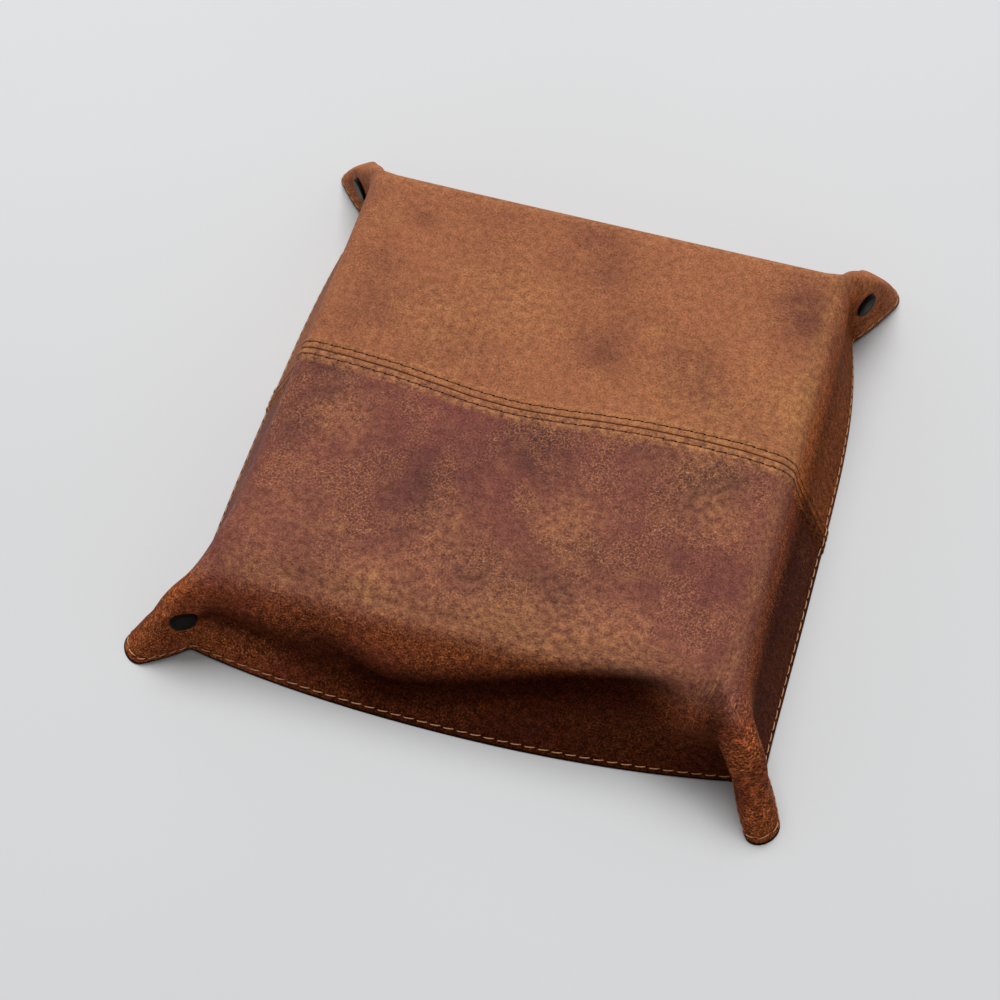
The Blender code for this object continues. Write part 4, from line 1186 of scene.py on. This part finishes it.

    # The seam is a thin dark line. At both ends of every stitch beside it, shadow is painted into a needle hole
    off = add(tree, "ShaderNodeAttribute", attribute_name="seam").outputs["Fac"]
    off = add(tree, "ShaderNodeMath", {0: off}, operation="ABSOLUTE").outputs[0]
    line = add(tree, "ShaderNodeMapRange", {
        "Value": off, "From Min": 0.00022, "From Max": 0.00050, "To Min": 0.9, "To Max": 0.0}).outputs[0]
    row = add(tree, "ShaderNodeMath", {0: off, 1: -SEAM_STITCH}, operation="ADD").outputs[0]
    row = add(tree, "ShaderNodeMath", {0: row, 1: 1 / HOLE_WIDE}, operation="MULTIPLY").outputs[0]
    hole_shadow = add(tree, "ShaderNodeAttribute", attribute_name="stitch").outputs["Fac"]
    hole_shadow = add(tree, "ShaderNodeMath", {0: hole_shadow, 1: 0.5}, operation="PINGPONG").outputs[0]
    pitch = settings("tray_thread").seam_pitch
    hole_shadow = add(tree, "ShaderNodeMath", {0: hole_shadow, 1: pitch / HOLE_LONG}, operation="MULTIPLY").outputs[0]
    hole_shadow = add(tree, "ShaderNodeCombineXYZ", {"X": hole_shadow, "Y": row}).outputs[0]
    hole_shadow = add(tree, "ShaderNodeVectorMath", {0: hole_shadow}, operation="LENGTH").outputs["Value"]
    hole_shadow = add(tree, "ShaderNodeMapRange", {
        "Value": hole_shadow, "From Min": 0.6, "From Max": 1.2, "To Min": 1.0, "To Max": 0.0}).outputs[0]
    tone = add(tree, "ShaderNodeMix", {0: line, 6: tone, 7: (*srgb("#4A2411"), 1)}, data_type="RGBA").outputs[2]
    # Painted shadow in each needle hole
    tone = add(tree, "ShaderNodeMix", {0: hole_shadow, 6: tone, 7: (*srgb("#160803"), 1)}, data_type="RGBA").outputs[2]
    tree.links.new(tone, shader.inputs["Base Color"])

    # Rubbed leather is duller than waxed leather
    dull = add(tree, "ShaderNodeMapRange", {
        "Value": worn, "From Min": 0.0, "From Max": 1.0, "To Min": 0.46, "To Max": 0.62}).outputs[0]
    tree.links.new(dull, shader.inputs["Roughness"])
    shine = add(tree, "ShaderNodeMapRange", {
        "Value": wall, "From Min": 0.0, "From Max": 1.0, "To Min": 0.02, "To Max": 0.008}).outputs[0]
    tree.links.new(shine, shader.inputs["Specular IOR Level"])
    shader.inputs["Specular Tint"].default_value = (1.0, 0.55, 0.35, 1.0)

    # Pebbles of the grain, with the cracks cut in and fine wrinkles along the folds
    pebble = add(tree, "ShaderNodeTexVoronoi", {"Vector": bent, "Scale": 1 / look.grain},
                 feature="SMOOTH_F1").outputs["Distance"]
    height = add(tree, "ShaderNodeMath", {0: pebble, 1: -0.30, 2: noise["speckle"]}, operation="MULTIPLY_ADD")
    height = add(tree, "ShaderNodeMath", {0: web, 1: -0.35, 2: height.outputs[0]}, operation="MULTIPLY_ADD")
    slanted = add(tree, "ShaderNodeMapping", {
        "Vector": bent, "Rotation": (0, 0, math.radians(45)), "Scale": (700, 110, 1)}).outputs[0]
    wrinkle = add(tree, "ShaderNodeTexNoise", {"Vector": slanted, "Scale": 1, "Detail": 3}).outputs["Fac"]
    wrinkle = add(tree, "ShaderNodeMath", {0: wrinkle, 1: folds}, operation="MULTIPLY").outputs[0]
    height = add(tree, "ShaderNodeMath", {0: wrinkle, 1: 3.0, 2: height.outputs[0]}, operation="MULTIPLY_ADD")
    bump = add(tree, "ShaderNodeBump", {"Height": height.outputs[0], "Distance": 0.0006, "Strength": 1.0})
    tree.links.new(bump.outputs[0], shader.inputs["Normal"])
    return made


@functools.cache
def suede():
    """Dark suede lining: a short matt nap, brushed a little lighter here and there."""
    look = settings("tray_leather")
    made, tree, shader = new_material("dark split suede")
    sheet = add(tree, "ShaderNodeUVMap", uv_map="sheet").outputs[0]
    nap = add(tree, "ShaderNodeTexNoise", {"Vector": sheet, "Scale": 1 / 0.0005, "Detail": 3}).outputs["Fac"]
    brushed = add(tree, "ShaderNodeTexNoise", {"Vector": sheet, "Scale": 1 / 0.03, "Detail": 4}).outputs["Fac"]
    mixed = add(tree, "ShaderNodeMath", {0: nap, 1: brushed}, operation="MULTIPLY").outputs[0]
    value = add(tree, "ShaderNodeMapRange", {
        "Value": mixed, "From Min": 0.1, "From Max": 0.45, "To Min": 0.6, "To Max": 1.7}).outputs[0]
    tone = add(tree, "ShaderNodeMix", {0: 1.0, 6: (*look.lining, 1), 7: value},
               data_type="RGBA", blend_type="MULTIPLY")
    tree.links.new(tone.outputs[2], shader.inputs["Base Color"])
    shader.inputs["Roughness"].default_value = 0.92
    shader.inputs["Specular IOR Level"].default_value = 0.2
    bump = add(tree, "ShaderNodeBump", {"Height": nap, "Distance": 0.0002, "Strength": 0.7})
    tree.links.new(bump.outputs[0], shader.inputs["Normal"])
    return made


@functools.cache
def waxed_thread(which):
    """Waxed sewing thread: two plies twisted together, so slanting ridges run along each stitch."""
    thread = settings("tray_thread")
    tone = thread.seam if which == "seam" else thread.rim
    made, tree, shader = new_material(f"waxed twisted thread, {which}")
    along = add(tree, "ShaderNodeUVMap", uv_map="sheet").outputs[0]
    place = add(tree, "ShaderNodeTexCoord").outputs["Object"]
    plies = add(tree, "ShaderNodeTexWave", {"Vector": along, "Scale": 1 / 0.0030, "Distortion": 0.4},
                bands_direction="DIAGONAL").outputs["Fac"]
    change = add(tree, "ShaderNodeTexNoise", {"Vector": place, "Scale": 1 / 0.004, "Detail": 3}).outputs["Fac"]
    shade = add(tree, "ShaderNodeMath", {0: plies, 1: 0.25, 2: change}, operation="MULTIPLY_ADD").outputs[0]
    value = add(tree, "ShaderNodeMapRange", {
        "Value": shade, "From Min": 0.3, "From Max": 0.9, "To Min": 0.70, "To Max": 1.15}).outputs[0]
    mixed = add(tree, "ShaderNodeMix", {0: 1.0, 6: (*tone, 1), 7: value}, data_type="RGBA", blend_type="MULTIPLY")
    tree.links.new(mixed.outputs[2], shader.inputs["Base Color"])
    shader.inputs["Roughness"].default_value = 0.6
    shader.inputs["Specular IOR Level"].default_value = 0.1
    bump = add(tree, "ShaderNodeBump", {"Height": plies, "Distance": 0.00015, "Strength": 0.8})
    tree.links.new(bump.outputs[0], shader.inputs["Normal"])
    return made


@functools.cache
def gunmetal():
    """Gunmetal plating on the press studs: a dark satin metal, a little cloudy, with hairline scratches."""
    snaps = settings("tray_snaps")
    made, tree, shader = new_material("gunmetal-plated brass")
    place = add(tree, "ShaderNodeTexCoord").outputs["Object"]
    cloud = add(tree, "ShaderNodeTexNoise", {"Vector": place, "Scale": 1 / 0.004, "Detail": 4}).outputs["Fac"]
    value = add(tree, "ShaderNodeMapRange", {
        "Value": cloud, "From Min": 0.3, "From Max": 0.7, "To Min": 0.85, "To Max": 1.2}).outputs[0]
    tone = add(tree, "ShaderNodeMix", {0: 1.0, 6: (*snaps.metal, 1), 7: value},
               data_type="RGBA", blend_type="MULTIPLY")
    tree.links.new(tone.outputs[2], shader.inputs["Base Color"])
    shader.inputs["Metallic"].default_value = 1.0
    rough = add(tree, "ShaderNodeMapRange", {
        "Value": cloud, "From Min": 0.3, "From Max": 0.7,
        "To Min": snaps.roughness - 0.06, "To Max": snaps.roughness + 0.08}).outputs[0]
    tree.links.new(rough, shader.inputs["Roughness"])
    drawn = add(tree, "ShaderNodeMapping", {"Vector": place, "Scale": (9000, 900, 1500)}).outputs[0]
    hair = add(tree, "ShaderNodeTexNoise", {"Vector": drawn, "Scale": 1, "Detail": 2}).outputs["Fac"]
    bump = add(tree, "ShaderNodeBump", {"Height": hair, "Distance": 0.00001, "Strength": 0.5})
    tree.links.new(bump.outputs[0], shader.inputs["Normal"])
    return made


def swing(piece, name):
    """Bakes the piece's place into its mesh. The corner's lean, and the point from which the flap would bend
    between the tray and the opening leaf, are worked out but not used.
    """
    corner = CORNERS[name]
    along, out, down = FLAP_LEAN
    lean = np.array([along, out, down] if corner["opens"] == "y" else [out, along, down])
    lean *= [*corner["sign"], 1]
    lean /= np.linalg.norm(lean)
    start = placed(*(np.array([float(s)]) for s in corner["sign"]))[0] + FLAP_STILL * lean
    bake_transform(piece)


class TRAY_OT_panels(bpy.types.Operator):
    """Makes the two leather panels, without the corners that open"""

    bl_idname = "tray.panels"
    bl_label = "Leather panels"

    def execute(self, context):
        faces, x, y = sheet_faces(True)
        fixed, rear = corner_of(x, y) == 0, y * HALF > SEAM_Y
        for side, here in (("rear", fixed & rear), ("front", fixed & ~rear)):
            made = shell(f"{side}_leather", faces[here], 0, OUTER_THICKNESS, leather(side))
            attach(made, "tray")
            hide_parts(f"outer_{side}_panel")
        return {"FINISHED"}


class TRAY_OT_lining(bpy.types.Operator):
    """Makes the lining, without the corners that open"""

    bl_idname = "tray.lining"
    bl_label = "Lining"

    def execute(self, context):
        faces, x, y = sheet_faces(False)
        made = shell("tray_lining", faces[corner_of(x, y) == 0], LINING_DEPTH, LEAF_DEPTH, suede())
        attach(made, "tray")
        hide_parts("lining")
        return {"FINISHED"}


class TRAY_OT_corners(bpy.types.Operator):
    """Makes the leather and lining of the four corners that open"""

    bl_idname = "tray.corners"
    bl_label = "Opening corners"

    def execute(self, context):
        for number, (name, corner) in enumerate(CORNERS.items(), 1):
            side = "front" if corner["sign"][1] < 0 else "rear"
            for piece, fine, top, bottom, finish, node, slot in (
                ("leather", True, 0, OUTER_THICKNESS, leather(side), "leaf", f"{side}_leather"),
                ("lining", False, LINING_DEPTH, LEAF_DEPTH, suede(), "leaf_lining", "lining"),
            ):
                faces, x, y = sheet_faces(fine)
                made = shell(f"{name}_flap_{piece}", faces[corner_of(x, y) == number], top, bottom, finish)
                swing(made, name)
                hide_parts(f"{name}_{node}")
        return {"FINISHED"}


class TRAY_OT_seam_stitches(bpy.types.Operator):
    """Makes the two rows of stitches beside the seam"""

    bl_idname = "tray.seam_stitches"
    bl_label = "Seam stitches"

    def execute(self, context):
        thread = settings("tray_thread")
        x = np.linspace(-SEAM_END, SEAM_END, PATH_SAMPLES)
        for side, offset in (("rear", SEAM_STITCH), ("front", -SEAM_STITCH)):
            path = evenly(x, np.full_like(x, (SEAM_Y + offset) / HALF), thread.seam_pitch)
            made = stitches(f"seam_stitches_{side}", path, waxed_thread("seam"), SEAM_THINNER)
            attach(made, "tray")
            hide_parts(f"seam_stitch_{side}")
        return {"FINISHED"}


class TRAY_OT_rim_stitches(bpy.types.Operator):
    """Makes the stitches round the rim: a run on each wall, and one on each corner that opens"""

    bl_idname = "tray.rim_stitches"
    bl_label = "Rim stitches"

    def execute(self, context):
        thread = settings("tray_thread")
        line = 2 - RIM_STITCH / WALL
        way, level = np.linspace(-line, line, PATH_SAMPLES), np.full(PATH_SAMPLES, line)
        x, y = np.concatenate([way, level, -way, -level]), np.concatenate([-level, way, level, -way])
        path = evenly(x, y, thread.rim_pitch)
        x, y = path[:, STITCH_RINGS // 2].T
        number = corner_of(x, y)
        wide, high = np.abs(x), np.abs(y)
        by_side = {"front": y < -wide, "right": x >= high, "back": y > wide, "left": x <= -high}
        for side, here in by_side.items():
            made = stitches(f"rim_stitches_{side}", path[here & (number == 0)], waxed_thread("rim"))
            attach(made, "tray")
            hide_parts(f"rim_stitch_{side}")
        for k, name in enumerate(CORNERS, 1):
            made = stitches(f"{name}_flap_stitches", path[number == k], waxed_thread("rim"))
            swing(made, name)
            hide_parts(f"{name}_leaf_stitch")
        return {"FINISHED"}


class TRAY_OT_snaps(bpy.types.Operator):
    """Makes the four press studs: cap and socket on the opening leaf, stud and post on the other"""

    bl_idname = "tray.snaps"
    bl_label = "Press studs"

    def execute(self, context):
        profiles = {
            "cap": cap_profile(),
            "socket": socket_profile(),
            "stud": stud_profile(),
            "post": post_profile(),
        }
        for name, corner in CORNERS.items():
            for part, profile in profiles.items():
                made = lathe(f"{name}_{part}", rounded(profile, SNAP_ROUND), corner, gunmetal())
                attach(made, f"{name}_flap" if part in ("cap", "socket") else "tray")
                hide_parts(f"{name}_snap_{part}")
        return {"FINISHED"}


class TRAY_OT_stage(bpy.types.Operator):
    """Makes the floor, the lights and the camera"""

    bl_idname = "tray.stage"
    bl_label = "Floor, lights and camera"

    def execute(self, context):
        stage = settings("tray_stage")
        scene = context.scene
        make_floor(stage)
        make_world(stage)
        key = bpy.data.lights.new("key", "AREA")
        key.shape, key.energy = "RECTANGLE", stage.key
        key.size, key.size_y = LAMP_SIZE
        lamp = bpy.data.objects.new("key", key)
        lamp.location = LAMP_PLACE
        lamp.rotation_euler = Vector(lamp.location).to_track_quat("Z", "Y").to_euler()
        scene.collection.objects.link(lamp)
        camera = bpy.data.cameras.new("photo camera")
        camera.sensor_width, camera.lens = SENSOR_WIDTH, stage.lens
        camera.shift_x, camera.shift_y = CAMERA_SHIFT
        eye = bpy.data.objects.new("photo camera", camera)
        a, e, roll = CAMERA_AZIMUTH, CAMERA_ELEVATION, CAMERA_ROLL
        back = Vector((math.sin(a) * math.cos(e), -math.cos(a) * math.cos(e), math.sin(e)))
        right = Vector((math.cos(a), math.sin(a), 0))
        turn = Matrix((right, back.cross(right), back)).transposed() @ Matrix.Rotation(-roll, 3, "Z")
        eye.matrix_world = Matrix.Translation(back * CAMERA_DISTANCE - Vector(CENTRE)) @ turn.to_4x4()
        scene.collection.objects.link(eye)
        scene.camera = eye
        scene.view_settings.view_transform = "Standard"
        return {"FINISHED"}


def make_floor(stage):
    mesh = bpy.data.meshes.new("floor")
    corners = ((-1, -1), (1, -1), (1, 1), (-1, 1))
    mesh.from_pydata([(x * FLOOR_HALF, y * FLOOR_HALF, FLOOR_LEVEL) for x, y in corners], [], [(0, 1, 2, 3)])
    floor = bpy.data.objects.new("floor", mesh)
    bpy.context.scene.collection.objects.link(floor)
    made, tree, shader = new_material("smooth pale board")
    place = add(tree, "ShaderNodeTexCoord").outputs["Object"]
    cloud = add(tree, "ShaderNodeTexNoise", {"Vector": place, "Scale": 3.0, "Detail": 2}).outputs["Fac"]
    value = add(tree, "ShaderNodeMapRange", {
        "Value": cloud, "From Min": 0.3, "From Max": 0.7, "To Min": 0.985, "To Max": 1.015}).outputs[0]
    tone = add(tree, "ShaderNodeMix", {0: 1.0, 6: (*stage.floor, 1), 7: value},
               data_type="RGBA", blend_type="MULTIPLY")
    tree.links.new(tone.outputs[2], shader.inputs["Base Color"])
    shader.inputs["Roughness"].default_value = 0.85
    shader.inputs["Specular IOR Level"].default_value = 0.1
    mesh.materials.append(made)


def make_world(stage):
    """Even light all round, and a pale background for what the camera and reflections see."""
    world = bpy.data.worlds.new("studio")
    bpy.context.scene.world = world
    world.use_nodes = True
    tree = world.node_tree
    rays = add(tree, "ShaderNodeLightPath")
    seen = add(tree, "ShaderNodeMath", {0: rays.outputs["Is Camera Ray"], 1: rays.outputs["Is Glossy Ray"]},
               operation="MAXIMUM")
    seen = add(tree, "ShaderNodeMath", {0: seen.outputs[0], 1: rays.outputs["Is Transmission Ray"]},
               operation="MAXIMUM")
    light = add(tree, "ShaderNodeBackground", {"Color": (1, 1, 1, 1), "Strength": stage.fill})
    pale = add(tree, "ShaderNodeBackground", {"Color": (*stage.floor, 1), "Strength": 1.0})
    both = add(tree, "ShaderNodeMixShader", {0: seen.outputs[0], 1: light.outputs[0], 2: pale.outputs[0]})
    tree.links.new(both.outputs[0], tree.nodes["World Output"].inputs["Surface"])


class TRAY_PT_panel(bpy.types.Panel):
    """Settings and steps of the leather tray"""

    bl_idname = "TRAY_PT_panel"
    bl_label = "Leather tray"
    bl_space_type = "VIEW_3D"
    bl_region_type = "UI"
    bl_category = "Leather tray"

    def draw(self, context):
        for name in GROUPS:
            group = getattr(context.scene, name)
            box = self.layout.box()
            box.label(text=name.replace("_", " ").capitalize())
            for setting in group.__annotations__:
                box.prop(group, setting)
        for operator in OPERATORS:
            self.layout.operator(operator.bl_idname)


GROUPS = {
    "tray_leather": TrayLeather,
    "tray_thread": TrayThread,
    "tray_snaps": TraySnaps,
    "tray_stage": TrayStage,
}
OPERATORS = (
    TRAY_OT_panels,
    TRAY_OT_lining,
    TRAY_OT_corners,
    TRAY_OT_seam_stitches,
    TRAY_OT_rim_stitches,
    TRAY_OT_snaps,
    TRAY_OT_stage,
)


def register():
    for made in (*GROUPS.values(), *OPERATORS, TRAY_PT_panel):
        bpy.utils.register_class(made)
    for name, group in GROUPS.items():
        setattr(bpy.types.Scene, name, PointerProperty(type=group))


def unregister():
    for name in GROUPS:
        delattr(bpy.types.Scene, name)
    for made in (TRAY_PT_panel, *reversed(OPERATORS), *reversed(GROUPS.values())):
        bpy.utils.unregister_class(made)


def main():
    register()
    bpy.ops.tray.panels()
    bpy.ops.tray.lining()
    bpy.ops.tray.corners()
    bpy.ops.tray.seam_stitches()
    bpy.ops.tray.rim_stitches()
    bpy.ops.tray.snaps()
    bpy.ops.tray.stage()


if __name__ == "__main__":
    main()
